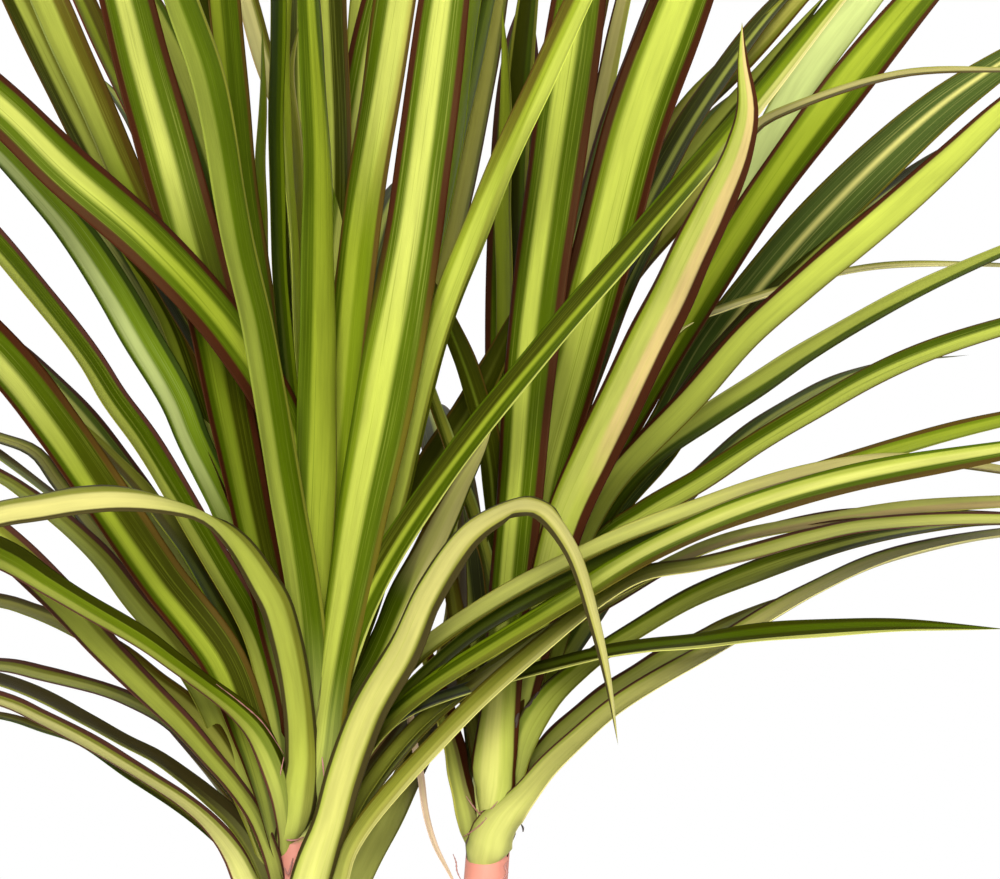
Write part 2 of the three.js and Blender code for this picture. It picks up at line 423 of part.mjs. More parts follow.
// Turns each station's width axis away from the viewer until the blade looks as broad as it should
function turnToLook(stations, wide) {
  const goesRight = stations.at(-1).place.x > stations[0].place.x;
  const side = goesRight ? -1 : 1;
  const turns = stations.map(({ along, looks }) => {
    const full = wide * Math.max(widthShare(along), LEAST_WIDTH_SHARE);
    return Math.acos(THREE.MathUtils.clamp(looks / full, LEAST_LOOK, 1));
  });
  const kept = turns[Math.floor(stations.length * TURN_KEPT_FROM)];
  const steady = turns.map((turn, k) => (stations[k].along > TURN_KEPT_PAST ? kept : turn));
  return stations.map((station, k) => {
    const before = steady[Math.max(k - 1, 0)];
    const after = steady[Math.min(k + 1, steady.length - 1)];
    const turn = side * (before + 2 * steady[k] + after) / 4;
    const across = station.way.clone().cross(TOWARD_VIEWER).normalize();
    across.applyAxisAngle(station.way, turn);
    return { ...station, across };
  });
}

// The solid of a leaf: at each station a flat arrow of four corners, ending in a point at the tip. Both
// faces are split into triangles along the same diagonals, so that a twisted blade doesn't cross itself.
function bladeMesh(stations, wide, inward) {
  const middle = stations[Math.floor(stations.length * FOLD_READ_AT)];
  const face = middle.across.clone().cross(middle.way);
  const fold = face.dot(inward(middle.place)) > 0 ? 1 : -1;
  const corners = [];
  const faces = [];
  const last = stations.length - 1;
  stations.forEach(({ along, place, way, across }, k) => {
    if (k === last) {
      corners.push(place);
      return;
    }
    const half = (wide * widthShare(along)) / 2;
    const thick = thicknessAt(along);
    const normal = across.clone().cross(way).normalize().multiplyScalar(fold);
    const lift = half * 2 * BLADE_FOLD;
    corners.push(place.clone().addScaledVector(across, -half).addScaledVector(normal, lift));
    corners.push(place.clone().addScaledVector(normal, -thick / 2));
    corners.push(place.clone().addScaledVector(across, half).addScaledVector(normal, lift));
    corners.push(place.clone().addScaledVector(normal, thick / 2));
  });
  const flip = fold < 0;
  const push = (a, b, c) => faces.push(...(flip ? [a, b, c] : [a, c, b]));
  for (let k = 0; k < last - 1; k += 1) {
    for (let side = 0; side < 4; side += 1) {
      const a = k * 4 + side;
      const b = k * 4 + ((side + 1) % 4);
      const underside = side < 2;
      push(a, b, underside ? b + 4 : a + 4);
      push(underside ? a : b, b + 4, a + 4);
    }
  }
  const ring = (last - 1) * 4;
  for (let side = 0; side < 4; side += 1) {
    push(ring + side, ring + ((side + 1) % 4), ring + 4);
  }
  push(1, 0, 3);
  push(2, 1, 3);
  return solidFrom(corners, faces);
}

function solidFrom(corners, faces) {
  const vertProperties = new Float32Array(corners.flatMap((corner) => corner.toArray()));
  return new wasm.Manifold(new wasm.Mesh({ numProp: 3, vertProperties, triVerts: new Uint32Array(faces) }));
}

function solidOf(geometry) {
  geometry.deleteAttribute("normal");
  geometry.deleteAttribute("uv");
  const merged = mergeVertices(geometry, 1e-4);
  return new wasm.Manifold(new wasm.Mesh({
    numProp: 3,
    vertProperties: new Float32Array(merged.attributes.position.array),
    triVerts: new Uint32Array(merged.index.array),
  }));
}

function geometryOf(solid) {
  const mesh = solid.getMesh();
  const geometry = new THREE.BufferGeometry();
  geometry.setAttribute("position", new THREE.BufferAttribute(mesh.vertProperties, 3));
  geometry.setIndex(new THREE.BufferAttribute(mesh.triVerts, 1));
  geometry.computeVertexNormals();
  return geometry;
}

// The slim green shoot that a crown's leaves are sunk into
function shootSolid(shoot) {
  const corners = [];
  const faces = [];
  for (let k = 0; k <= SHOOT_RINGS; k += 1) {
    const share = k / SHOOT_RINGS;
    const centre = shootPoint(shoot, THREE.MathUtils.lerp(shootFoot(shoot), shootTop(shoot), share));
    const radius = shootRadius(shoot, centre.z);
    for (let side = 0; side < SHOOT_SIDES; side += 1) {
      const angle = (side / SHOOT_SIDES) * Math.PI * 2;
      corners.push(new THREE.Vector3(
        centre.x + radius * Math.cos(angle), centre.y + radius * Math.sin(angle), centre.z));
    }
  }
  for (let k = 0; k < SHOOT_RINGS; k += 1) {
    for (let side = 0; side < SHOOT_SIDES; side += 1) {
      const a = k * SHOOT_SIDES + side;
      const b = k * SHOOT_SIDES + ((side + 1) % SHOOT_SIDES);
      faces.push(a, b, b + SHOOT_SIDES, a, b + SHOOT_SIDES, a + SHOOT_SIDES);
    }
  }
  const topRing = SHOOT_RINGS * SHOOT_SIDES;
  for (let side = 1; side < SHOOT_SIDES - 1; side += 1) {
    faces.push(0, side + 1, side);
    faces.push(topRing, topRing + side, topRing + side + 1);
  }
  return solidFrom(corners, faces);
}

function viewedLeaf(shoot, [, wide, long, route]) {
  const segments = THREE.MathUtils.clamp(route.length, MIN_SEGMENTS, MAX_SEGMENTS);
  const stations = turnToLook(viewedSpine(shoot, long, route, segments), wide);
  const inward = (place) => shootPoint(shoot, place.z).sub(place).setZ(INNER_SIDE_RISE).normalize();
  return bladeMesh(stations, wide, inward);
}

// A leaf behind: it rises from the shoot at its own bearing and bends outward in one arch
function backLeaf(shoot, index, random) {
  const turn = ((index * GOLDEN_SHARE) % 1) - 0.5;
  const wander = (random() - 0.5) * BACK_WANDER;
  const bearing = THREE.MathUtils.degToRad(shoot.backBearing + turn * BACK_SPREAD + wander);
  const age = index / (BACK_LEAVES - 1);
  const rise = THREE.MathUtils.degToRad(THREE.MathUtils.lerp(YOUNG_RISE, OLD_RISE, age));
  const fall = THREE.MathUtils.degToRad(THREE.MathUtils.lerp(YOUNG_FALL, OLD_FALL, age));
  const long = BACK_LEAF_LENGTH * THREE.MathUtils.lerp(...BACK_LENGTH_SHARES, random());
  const wide = BACK_LEAF_WIDTH * THREE.MathUtils.lerp(...BACK_WIDTH_SHARES, random());
  const youngest = shootTop(shoot) - YOUNGEST_BELOW_TOP;
  const oldest = shootFoot(shoot) + OLDEST_ABOVE_FOOT;
  const place = shootPoint(shoot, THREE.MathUtils.lerp(youngest, oldest, age));
  const outward = new THREE.Vector3(Math.cos(bearing), Math.sin(bearing), 0);
  const across = new THREE.Vector3(-Math.sin(bearing), Math.cos(bearing), 0);
  const stations = [];
  for (let k = 0; k <= BACK_SEGMENTS; k += 1) {
    const along = k / BACK_SEGMENTS;
    const angle = THREE.MathUtils.lerp(rise, fall, along ** ARCH_POWER);
    const way = outward.clone().multiplyScalar(Math.sin(angle)).addScaledVector(UP, Math.cos(angle));
    stations.push({ along, place: place.clone(), way, across });
    place.addScaledVector(way, long / BACK_SEGMENTS);
  }
  return bladeMesh(stations, wide, () => outward.clone().negate().setZ(BACK_INNER_RISE));
}

function crownSolid(shoot, leaves) {
  const random = seeded(shoot.seed);
  const behind = Array.from({ length: BACK_LEAVES }, (unused, k) => backLeaf(shoot, k, random));
  const inView = leaves.map((leaf) => viewedLeaf(shoot, leaf));
  return outerBody([...behind, ...inView].reduce((whole, blade) => whole.add(blade), shootSolid(shoot)));
}

// The one outer body, without slivers: hollows that fusing sealed are filled, and loose scraps are dropped
function outerBody(solid) {
  const bodies = solid.simplify(SLIVER).decompose();
  return bodies.reduce((largest, body) => (body.volume() > largest.volume() ? body : largest));
}

function turned(profile, sides) {
  const points = profile.map(([radius, z]) => new THREE.Vector2(radius, z));
  return new THREE.LatheGeometry(points, sides).rotateX(Math.PI / 2);
}

// The radius of the pot's outside below its collar
function wallRadiusAt(z) {
  return THREE.MathUtils.lerp(POT_FOOT_RADIUS, POT_TOP_RADIUS - COLLAR_STEP, z / POT_HEIGHT);
}

// The pot: one moulded wall with a collar, a flat bottom and a ring of drain holes
function potSolid() {
  const inside = POT_FOOT_RADIUS - POT_WALL;
  let pot = solidOf(turned([
    [0, 0],
    [POT_FOOT_RADIUS - FOOT_BEVEL, 0],
    [POT_FOOT_RADIUS, FOOT_BEVEL],
    [wallRadiusAt(UNDER_COLLAR), UNDER_COLLAR],
    [POT_TOP_RADIUS - COLLAR_BEVEL, UNDER_COLLAR + COLLAR_BEVEL],
    [POT_TOP_RADIUS, POT_HEIGHT - COLLAR_BEVEL],
    [POT_TOP_RADIUS - RIM_BEVEL, POT_HEIGHT],
    [POT_TOP_RADIUS - COLLAR_STEP - POT_WALL + RIM_BEVEL, POT_HEIGHT],
    [wallRadiusAt(UNDER_COLLAR) - POT_WALL, UNDER_COLLAR],
    [inside, POT_WALL + FOOT_BEVEL],
    [inside - FOOT_BEVEL, POT_WALL],
    [0, POT_WALL],
  ], POT_SIDES));
  for (let k = 0; k < DRAIN_HOLES; k += 1) {
    const angle = (k / DRAIN_HOLES) * Math.PI * 2;
    const hole = new THREE.CylinderGeometry(DRAIN_RADIUS, DRAIN_RADIUS, POT_WALL * 4, DRAIN_SIDES);
    hole.rotateX(Math.PI / 2);
    hole.translate(DRAIN_CIRCLE * Math.cos(angle), DRAIN_CIRCLE * Math.sin(angle), 0);
    pot = pot.subtract(solidOf(hole));
  }
  return pot;
}

// The soil fills the pot to below the rim, with a plain hole for each cane
function soilSolid() {
  const innerRadiusAt = (z) => wallRadiusAt(z) - POT_WALL - GAP;
  const inside = POT_FOOT_RADIUS - POT_WALL - GAP;
  const bevel = FOOT_BEVEL + 1;
  let soil = solidOf(turned([
    [0, POT_WALL + GAP],
    [inside - bevel, POT_WALL + GAP],
    [inside, POT_WALL + GAP + bevel],
    [innerRadiusAt(UNDER_COLLAR), UNDER_COLLAR],
    [innerRadiusAt(SOIL_SURFACE) - SOIL_EDGE_CLEARANCE, SOIL_SURFACE - 1],
    [innerRadiusAt(SOIL_SURFACE) - SOIL_SLOPE, SOIL_SURFACE + SOIL_MOUND_HEIGHT / 2],
    [SOIL_MOUND_RADIUS, SOIL_SURFACE + SOIL_MOUND_HEIGHT],
    [0, SOIL_SURFACE + SOIL_MOUND_HEIGHT - 1],
  ], SOIL_SIDES));
  const reach = CANE_DEPTH_IN_SOIL + SOIL_MOUND_HEIGHT * 5;
  const radius = CANE_RADIUS + SCAR_HEIGHT + GAP;
  for (const x of [LEFT_CANE_X, RIGHT_CANE_X]) {
    const hole = new THREE.CylinderGeometry(radius, radius, reach, CANE_HOLE_SIDES);
    hole.rotateX(Math.PI / 2);
    hole.translate(x, 0, SOIL_SURFACE - CANE_DEPTH_IN_SOIL + reach / 2);
    soil = soil.subtract(solidOf(hole));
  }
  return soil;
}

// A cane: a straight woody stem ringed by the scars of shed leaves, which stop below the crown
function caneSolid(x, top) {
  const profile = [[0, CANE_FOOT], [CANE_RADIUS - CANE_BEVEL, CANE_FOOT]];
  profile.push([CANE_RADIUS, CANE_FOOT + CANE_BEVEL]);
  for (let z = CANE_FOOT + CANE_DEPTH_IN_SOIL; z < top - SCAR_SPACING; z += SCAR_SPACING) {
    profile.push([CANE_RADIUS, z]);
    profile.push([CANE_RADIUS + SCAR_HEIGHT, z + SCAR_SPACING * SCAR_RISE]);
  }
  profile.push([CANE_RADIUS, top - CANE_BEVEL], [CANE_RADIUS - CANE_BEVEL, top], [0, top]);
  return solidOf(turned(profile, CANE_SIDES).translate(x, 0, 0));
}

function named(name, solid, look) {
  const mesh = new THREE.Mesh(geometryOf(solid), new THREE.MeshStandardMaterial(look));
  mesh.name = name;
  return mesh;
}

const POT_LOOK = { color: 0x9a5237, roughness: 0.6, metalness: 0 };
const SOIL_LOOK = { color: 0x2e2119, roughness: 0.95, metalness: 0 };
const CANE_LOOK = { color: 0xb98f72, roughness: 0.75, metalness: 0 };
const LEAF_LOOK = { color: 0xa8b33e, roughness: 0.45, metalness: 0 };

const plant = new THREE.Group();
plant.name = "potted_dragon_tree";
plant.add(named("pot", potSolid(), POT_LOOK));
plant.add(named("soil", soilSolid(), SOIL_LOOK));
plant.add(named("cane_left", caneSolid(LEFT_CANE_X, shootFoot(LEFT_SHOOT) - GAP), CANE_LOOK));
plant.add(named("cane_right", caneSolid(RIGHT_CANE_X, shootFoot(RIGHT_SHOOT) - GAP), CANE_LOOK));
plant.add(named("crown_left", crownSolid(LEFT_SHOOT, LEFT_LEAVES), LEAF_LOOK));
plant.add(named("crown_right", crownSolid(RIGHT_SHOOT, RIGHT_LEAVES), LEAF_LOOK));

export default plant;
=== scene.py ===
import math

import bpy
import numpy as np
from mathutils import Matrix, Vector, noise


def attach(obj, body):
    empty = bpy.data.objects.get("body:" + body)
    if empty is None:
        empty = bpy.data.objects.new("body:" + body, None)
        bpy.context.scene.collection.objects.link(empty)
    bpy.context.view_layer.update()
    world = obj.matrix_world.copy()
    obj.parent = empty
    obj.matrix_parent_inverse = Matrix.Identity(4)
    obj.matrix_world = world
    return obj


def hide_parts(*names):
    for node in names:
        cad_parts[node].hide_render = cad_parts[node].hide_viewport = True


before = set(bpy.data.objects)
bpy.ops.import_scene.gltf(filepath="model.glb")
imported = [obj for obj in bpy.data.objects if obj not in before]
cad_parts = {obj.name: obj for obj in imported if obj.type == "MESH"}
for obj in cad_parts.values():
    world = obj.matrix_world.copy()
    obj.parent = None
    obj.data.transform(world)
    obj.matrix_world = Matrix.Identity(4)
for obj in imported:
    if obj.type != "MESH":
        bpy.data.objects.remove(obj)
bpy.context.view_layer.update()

MM = 0.001

# The reference view, as in the part: a level look along +Y at the two crowns, cropped close
PICTURE_CENTRE_COLUMN = 500
PICTURE_CENTRE_ROW = 439.5
MM_PER_PIXEL = 0.4
PICTURE_WIDTH_MM = 400
VIEW_DISTANCE = 1800
VIEW_CENTRE_X = 45
VIEW_CENTRE_Z = 468
BETWEEN_CROWNS_COLUMN = 387
BETWEEN_CROWNS_ROW = 860
DEPTH_REACH = 900

# The pot, its soil and the canes, as in the part
GAP = 0.3
POT_HEIGHT = 150
POT_TOP_RADIUS = 85
POT_FOOT_RADIUS = 62
POT_WALL = 2.5
FOOT_BEVEL = 2
COLLAR_HEIGHT = 24
COLLAR_STEP = 3
COLLAR_BEVEL = 1.5
SOIL_BELOW_RIM = 18
SOIL_EDGE_CLEARANCE = 0.6
SOIL_SLOPE = 14
SOIL_MOUND_RADIUS = 24
SOIL_MOUND_HEIGHT = 4
CANE_DEPTH_IN_SOIL = 62
CANE_RADIUS = 8.8
SCAR_SPACING = 12
SCAR_HEIGHT = 0.6
LEFT_CANE_X = -39
RIGHT_CANE_X = 39
UNDER_COLLAR = POT_HEIGHT - COLLAR_HEIGHT
SOIL_SURFACE = POT_HEIGHT - SOIL_BELOW_RIM
CANE_FOOT = SOIL_SURFACE - CANE_DEPTH_IN_SOIL + GAP

# The shoots and their blades, as in the part
SHOOT_TIP_RADIUS = 5
LEFT_SHOOT = {
    "line": [[LEFT_CANE_X, 0, 264], [-37, 0, 312], [-33, 0, 360], [-31, 0, 412]],
    "back_bearing": 115,
    "seed": 1,
}
RIGHT_SHOOT = {
    "line": [[RIGHT_CANE_X, 0, 288], [43, 0, 340], [47, 0, 384], [51, 0, 428]],
    "back_bearing": 58,
    "seed": 28,
}
BASE_WIDTH_SHARE = 0.66
WIDEST_AT = 0.5
TAPER_POWER = 3.2
MIN_SEGMENTS = 5
MAX_SEGMENTS = 12
ROOT_DROP = 26
ROOT_OFFSET = 0.45
LOWEST_ROOT = 7
HIGHEST_ROOT = 4
LEAST_UNSEEN = 45
UNSEEN_STEPS = 3
DROOP_PER_MM = 1 / 260
UPRIGHT_DROOP = 0.25
LEAST_WIDTH_SHARE = 0.05
LEAST_LOOK = 0.04
TURN_KEPT_FROM = 0.75
TURN_KEPT_PAST = 0.8
FOLD_READ_AT = 0.35
INNER_SIDE_RISE = 60
BACK_LEAVES = 9
BACK_SPREAD = 90
BACK_WANDER = 8
GOLDEN_SHARE = 0.618034
BACK_LEAF_WIDTH = 20
BACK_LEAF_LENGTH = 370
BACK_LENGTH_SHARES = (0.9, 1.1)
BACK_WIDTH_SHARES = (0.85, 1.1)
BACK_SEGMENTS = 6
YOUNGEST_BELOW_TOP = 8
OLDEST_ABOVE_FOOT = 22
YOUNG_RISE = 10
OLD_RISE = 40
YOUNG_FALL = 45
OLD_FALL = 105
ARCH_POWER = 1.4
BACK_INNER_RISE = 0.5

# Leaves in view. Each row: name, width and full length in mm (0 where the tip shows), and its route from
# root to tip. A route point is the column and row where it shows in the reference view, how far it stands
# in front of the crowns' plane in mm, and how broad the leaf looks there in pixels.
LEFT_LEAVES = [
  ["low 1", 18, 360, [[252, 885, 14, 26], [235, 854, 16, 22], [208, 823, 18, 15], [181, 801, 20, 12],
    [154, 784, 22, 11], [127, 768, 25, 11], [85, 743, 27, 12], [42, 721, 29, 11], [0, 703, 30, 10]]],
  ["low 2", 18, 370, [[265, 879, 8, 18], [250, 846, 8, 18], [232, 821, 8, 17], [208, 799, 7, 15],
    [181, 778, 6, 12], [154, 759, 5, 10], [127, 745, 5, 9], [85, 722, 4, 9], [0, 683, 0, 9]]],
  ["low 3", 16, 340, [[268, 858, 4, 16], [255, 829, 4, 15], [238, 802, 2, 13], [215, 772, -2, 13],
    [170, 726, -8, 12], [130, 703, -10, 12], [100, 691, -13, 11], [42, 677, -18, 12],
    [0, 668, -22, 11]]],
  ["low 4", 20, 400, [[274, 868, 14, 15], [266, 843, 15, 15], [254, 816, 17, 15], [232, 785, 19, 15],
    [206, 756, 21, 17], [181, 728, 23, 19], [157, 704, 25, 21], [127, 674, 27, 24], [98, 645, 28, 27],
    [50, 592, 29, 32], [0, 545, 30, 34]]],
  ["low 5", 20, 380, [[284, 800, 16, 20], [275, 768, 20, 24], [258, 735, 24, 24], [236, 712, 28, 19],
    [205, 688, 32, 15], [172, 664, 37, 16], [142, 643, 41, 18], [85, 609, 46, 19], [45, 585, 47, 22],
    [0, 558, 48, 28]]],
  ["low 6", 18, 360, [[270, 850, 6, 24], [240, 785, 6, 22], [215, 740, 5, 20], [185, 708, 3, 20],
    [155, 685, 1, 19], [120, 657, -1, 18], [70, 630, -4, 14], [30, 613, -8, 11], [0, 604, -10, 11]]],
  ["low 7", 10, 350, [[256, 880, 6, 14], [205, 828, 6, 12], [130, 775, 5, 10], [80, 743, 4, 7],
    [42, 730, 3, 6], [0, 717, 2, 5]]],
  ["side 1", 18, 380, [[262, 836, 7, 24], [246, 790, 6, 28], [228, 745, 2, 29], [203, 692, -2, 27],
    [169, 645, -4, 22], [133, 602, -5, 21], [103, 564, -6, 19], [80, 541, -7, 17], [55, 519, -8, 15],
    [25, 496, -9, 12], [0, 480, -10, 9]]],
  ["side 2", 16, 360, [[268, 800, 2, 22], [250, 750, -4, 20], [225, 690, -10, 16], [190, 640, -14, 14],
    [110, 553, -18, 12], [55, 484, -21, 11], [33, 455, -22, 10], [0, 441, -23, 9]]],
  ["side 3", 12, 350, [[262, 790, -10, 14], [200, 665, -24, 8], [150, 602, -28, 7], [90, 530, -30, 6],
    [0, 458, -32, 6]]],
  ["side 4", 24, 440, [[272, 826, 10, 24], [264, 788, 13, 32], [250, 738, 14, 38], [222, 662, 16, 44],
    [160, 580, 16, 44], [102, 497, 13, 44], [56, 430, 8, 44], [0, 360, 2, 46]]],
  ["side 5", 16, 0, [[285, 830, -2, 26], [268, 760, -4, 26], [240, 650, -8, 20], [215, 600, -10, 17],
    [160, 515, -12, 14], [80, 425, -15, 10], [60, 405, -15, 4]]],
  ["side 6", 18, 400, [[288, 790, 8, 26], [281, 735, 8, 28], [257, 640, 8, 27], [215, 562, 6, 26],
    [169, 485, 3, 25], [140, 438, 2, 25], [111, 398, 1, 24], [90, 365, 0, 22], [54, 317, -1, 22],
    [0, 251, -3, 22]]],
  ["side 7", 14, 0, [[280, 720, -6, 14], [265, 640, -8, 10], [235, 560, -11, 9], [195, 470, -13, 6],
    [185, 440, -14, 3]]],
  ["side 8", 18, 420, [[298, 760, -2, 26], [288, 690, -4, 28], [270, 620, -6, 28], [240, 545, -8, 28],
    [215, 490, -8, 29], [190, 438, -8, 31], [175, 401, -8, 34], [139, 338, -8, 37], [114, 295, -9, 36],
    [68, 227, -11, 33], [42, 197, -12, 28], [0, 152, -14, 25]]],
  ["side 9", 14, 0, [[292, 720, -12, 18], [270, 620, -14, 20], [235, 520, -16, 22], [201, 415, -18, 22],
    [172, 330, -20, 19], [150, 290, -22, 15], [120, 250, -24, 3]]],
  ["high 1", 22, 450, [[303, 700, 14, 30], [305, 600, 18, 36], [305, 520, 22, 38], [290, 430, 26, 40],
    [235, 335, 32, 45], [150, 240, 34, 50], [68, 169, 33, 52], [0, 103, 30, 48]]],
  ["high 2", 20, 400, [[304, 640, -18, 20], [280, 520, -20, 24], [230, 400, -20, 27], [170, 290, -20, 28],
    [95, 160, -20, 30], [17, 0, -20, 30]]],
  ["high 3", 18, 400, [[306, 620, -12, 20], [285, 500, -12, 26], [240, 390, -12, 28], [150, 230, -12, 31],
    [78, 70, -12, 32], [48, 0, -12, 32]]],
  ["high 4", 14, 0, [[300, 560, -26, 12], [250, 430, -28, 12], [203, 310, -30, 12], [147, 205, -30, 12],
    [122, 145, -30, 11], [110, 112, -30, 8], [97, 80, -30, 3]]],
  ["high 5", 16, 400, [[302, 560, -34, 14], [260, 400, -36, 18], [200, 250, -38, 20], [118, 80, -38, 20],
    [82, 0, -38, 20]]],
  ["high 6", 24, 450, [[302, 720, 8, 34], [275, 620, 10, 36], [255, 540, 12, 38], [230, 420, 14, 44],
    [207, 300, 14, 52], [176, 190, 13, 58], [158, 125, 10, 58], [140, 60, 7, 55], [125, 0, 4, 49]]],
  ["high 7", 18, 420, [[312, 720, 20, 34], [310, 640, 26, 34], [303, 580, 32, 34], [280, 440, 42, 32],
    [262, 330, 46, 30], [243, 250, 47, 30], [222, 130, 47, 31], [208, 68, 46, 32], [184, 0, 44, 34]]],
  ["upright 1", 18, 400, [[308, 640, 0, 26], [290, 500, 0, 28], [270, 380, 0, 29], [241, 200, 0, 29],
    [222, 0, 0, 29]]],
  ["upright 2", 18, 400, [[306, 620, -10, 22], [285, 470, -12, 24], [255, 300, -14, 25],
    [222, 120, -14, 25], [195, 0, -14, 25]]],
  ["upright 3", 16, 400, [[312, 600, -34, 20], [318, 420, -38, 20], [305, 240, -42, 20],
    [285, 130, -45, 20], [262, 60, -46, 19], [245, 0, -46, 18]]],
  ["upright 4", 14, 0, [[308, 600, -24, 16], [285, 420, -26, 14], [262, 290, -28, 12], [258, 180, -28, 9],
    [262, 80, -28, 6], [262, 24, -28, 2]]],
  ["upright 5", 16, 400, [[310, 620, 10, 20], [300, 500, 12, 16], [280, 320, 12, 13], [273, 160, 12, 13],
    [275, 0, 12, 13]]],
  ["upright 6", 14, 390, [[310, 600, -6, 14], [301, 470, -8, 5], [291, 240, -8, 7], [281, 80, -8, 10],
    [283, 0, -8, 11]]],
  ["upright 7", 14, 0, [[312, 560, -30, 14], [305, 400, -34, 14], [296, 170, -38, 12], [290, 70, -38, 12],
    [300, 20, -38, 8]]],
  ["upright 8", 20, 400, [[310, 700, 20, 34], [312, 600, 23, 38], [318, 470, 23, 40], [321, 320, 22, 34],
    [321, 160, 18, 26], [312, 0, 14, 18]]],
  ["upright 9", 18, 400, [[318, 640, -14, 24], [330, 480, -16, 26], [338, 320, -18, 28],
    [341, 150, -20, 28], [335, 0, -20, 28]]],
  ["upright 10", 16, 400, [[320, 620, -40, 18], [338, 450, -44, 20], [348, 250, -46, 20],
    [362, 0, -46, 20]]],
  ["upright 11", 20, 410, [[318, 680, 6, 28], [328, 540, 8, 34], [343, 370, 10, 40], [356, 240, 10, 40],
    [393, 0, 10, 40]]],
  ["upright 12", 24, 430, [[318, 760, 20, 34], [325, 710, 24, 35], [335, 650, 28, 38], [357, 530, 35, 50],
    [385, 390, 40, 60], [410, 240, 42, 58], [443, 0, 40, 52]]],
  ["upright 13", 12, 0, [[322, 600, -22, 14], [345, 430, -26, 10], [367, 290, -28, 8], [377, 153, -28, 3]]],
  ["lean 1", 16, 400, [[326, 620, -10, 18], [360, 480, -14, 16], [405, 360, -18, 15], [449, 200, -20, 14],
    [477, 0, -20, 14]]],
  ["lean 2", 16, 400, [[326, 600, -26, 18], [370, 450, -30, 16], [420, 320, -32, 15], [460, 150, -34, 14],
    [492, 0, -34, 14]]],
  ["lean 3", 16, 400, [[326, 600, -42, 18], [375, 440, -46, 20], [430, 330, -48, 20], [475, 150, -48, 20],
    [501, 0, -48, 20]]],
  ["lean 4", 18, 420, [[335, 680, 14, 26], [372, 590, 20, 28], [400, 490, 28, 28], [433, 355, 38, 28],
    [487, 210, 50, 28], [582, 0, 60, 25]]],
  ["lean 5", 18, 430, [[315, 745, 18, 32], [345, 650, 28, 32], [395, 550, 40, 28], [495, 412, 58, 25],
    [615, 270, 70, 25], [740, 125, 78, 22], [840, 0, 80, 18]]],
  ["lean 6", 18, 0, [[322, 700, -2, 28], [355, 610, -4, 32], [415, 500, -13, 34], [465, 420, -16, 33],
    [490, 375, -17, 26], [530, 285, -18, 4]]],
  ["lean 7", 18, 0, [[322, 768, 6, 20], [347, 715, 10, 24], [379, 662, 14, 30], [406, 602, 18, 34],
    [436, 542, 23, 30], [461, 490, 28, 20], [482, 450, 31, 12], [492, 428, 31, 4]]],
  ["front 1", 20, 0, [[303, 905, 22, 40], [314, 868, 24, 41], [327, 829, 26, 37], [342, 775, 32, 38],
    [364, 715, 40, 37], [400, 650, 53, 34], [427, 592, 62, 30], [468, 533, 75, 25], [512, 507, 84, 17],
    [530, 505, 88, 14], [548, 512, 92, 15], [575, 550, 99, 20], [597, 620, 106, 15], [609, 675, 110, 9],
    [618, 745, 112, 2]]],
  ["front 2", 18, 400, [[292, 848, 5, 26], [292, 838, 10.5, 28], [297, 812, 14, 34], [300, 788, 17, 37],
    [303, 763, 21, 34], [303, 736, 25, 31], [299, 695, 32, 30], [289, 640, 44, 30], [279, 605, 52, 30],
    [264, 578, 58, 28], [245, 550, 64, 23], [226, 530, 69, 14], [209, 517, 71, 5], [193, 509, 72, 6],
    [155, 499, 73, 17], [116, 495, 74, 25], [77, 497, 75, 28], [40, 503, 76, 27], [0, 510, 76, 25]]],
  ["reach 1", 16, 420, [[322, 812, 6, 20], [345, 778, 12, 20], [375, 722, 28, 19], [412, 663, 40, 18],
    [500, 601, 52, 16], [600, 549, 60, 15], [699, 510, 66, 15], [754, 490, 68, 13], [850, 466, 71, 10],
    [900, 461, 72, 10], [1000, 472, 72, 10]]],
  ["reach 2", 18, 430, [[330, 850, 8, 20], [345, 795, 14, 18], [370, 745, 24, 17], [400, 713, 36, 17],
    [440, 683, 46, 17], [500, 645, 58, 18], [570, 603, 67, 19], [655, 552, 76, 21], [800, 495, 86, 25],
    [1000, 453, 90, 27]]],
  ["reach 3", 12, 420, [[330, 870, 8, 16], [360, 800, 14, 14], [420, 725, 24, 12], [500, 665, 34, 12],
    [610, 603, 42, 11], [699, 553, 47, 11], [754, 535, 50, 10], [850, 517, 56, 9], [1000, 518, 62, 9]]],
  ["reach 4", 16, 430, [[335, 900, 16, 22], [352, 850, 22, 19], [400, 785, 34, 18], [500, 684, 52, 17],
    [606, 598, 64, 15], [645, 577, 66, 13], [699, 567, 69, 12], [754, 555, 72, 14], [809, 540, 74, 13],
    [863, 528, 74, 12], [1000, 521, 74, 12]]],
  ["reach 5", 14, 0, [[320, 860, 10, 18], [345, 800, 14, 12], [375, 745, 22, 10], [410, 713, 28, 10],
    [500, 682, 40, 10], [590, 658, 47, 11], [645, 649, 51, 11], [699, 643, 55, 13], [754, 636, 57, 17],
    [809, 631, 59, 19], [863, 628, 61, 15], [918, 627, 63, 9], [1005, 629, 66, 3]]],
  ["reach 6", 16, 420, [[326, 812, 8, 16], [372, 738, 18, 14], [450, 655, 38, 13], [550, 592, 56, 14],
    [740, 506, 62, 16], [860, 461, 64, 16], [1000, 422, 64, 16]]],
  ["reach 7", 12, 420, [[335, 850, 4, 12], [420, 735, 24, 9], [520, 655, 46, 9], [620, 592, 52, 10],
    [720, 545, 56, 11], [880, 514, 57, 12], [1000, 503, 58, 12]]],
  ["back 1", 18, 0, [[352, 900, -4, 28], [362, 880, -6, 28], [408, 785, -14, 28], [445, 690, -24, 26],
    [455, 640, -30, 24], [460, 590, -36, 20], [462, 500, -44, 3]]],
  ["back 2", 14, 0, [[345, 840, 2, 16], [365, 785, -2, 18], [400, 735, -8, 15], [440, 670, -16, 8],
    [450, 640, -18, 3]]],
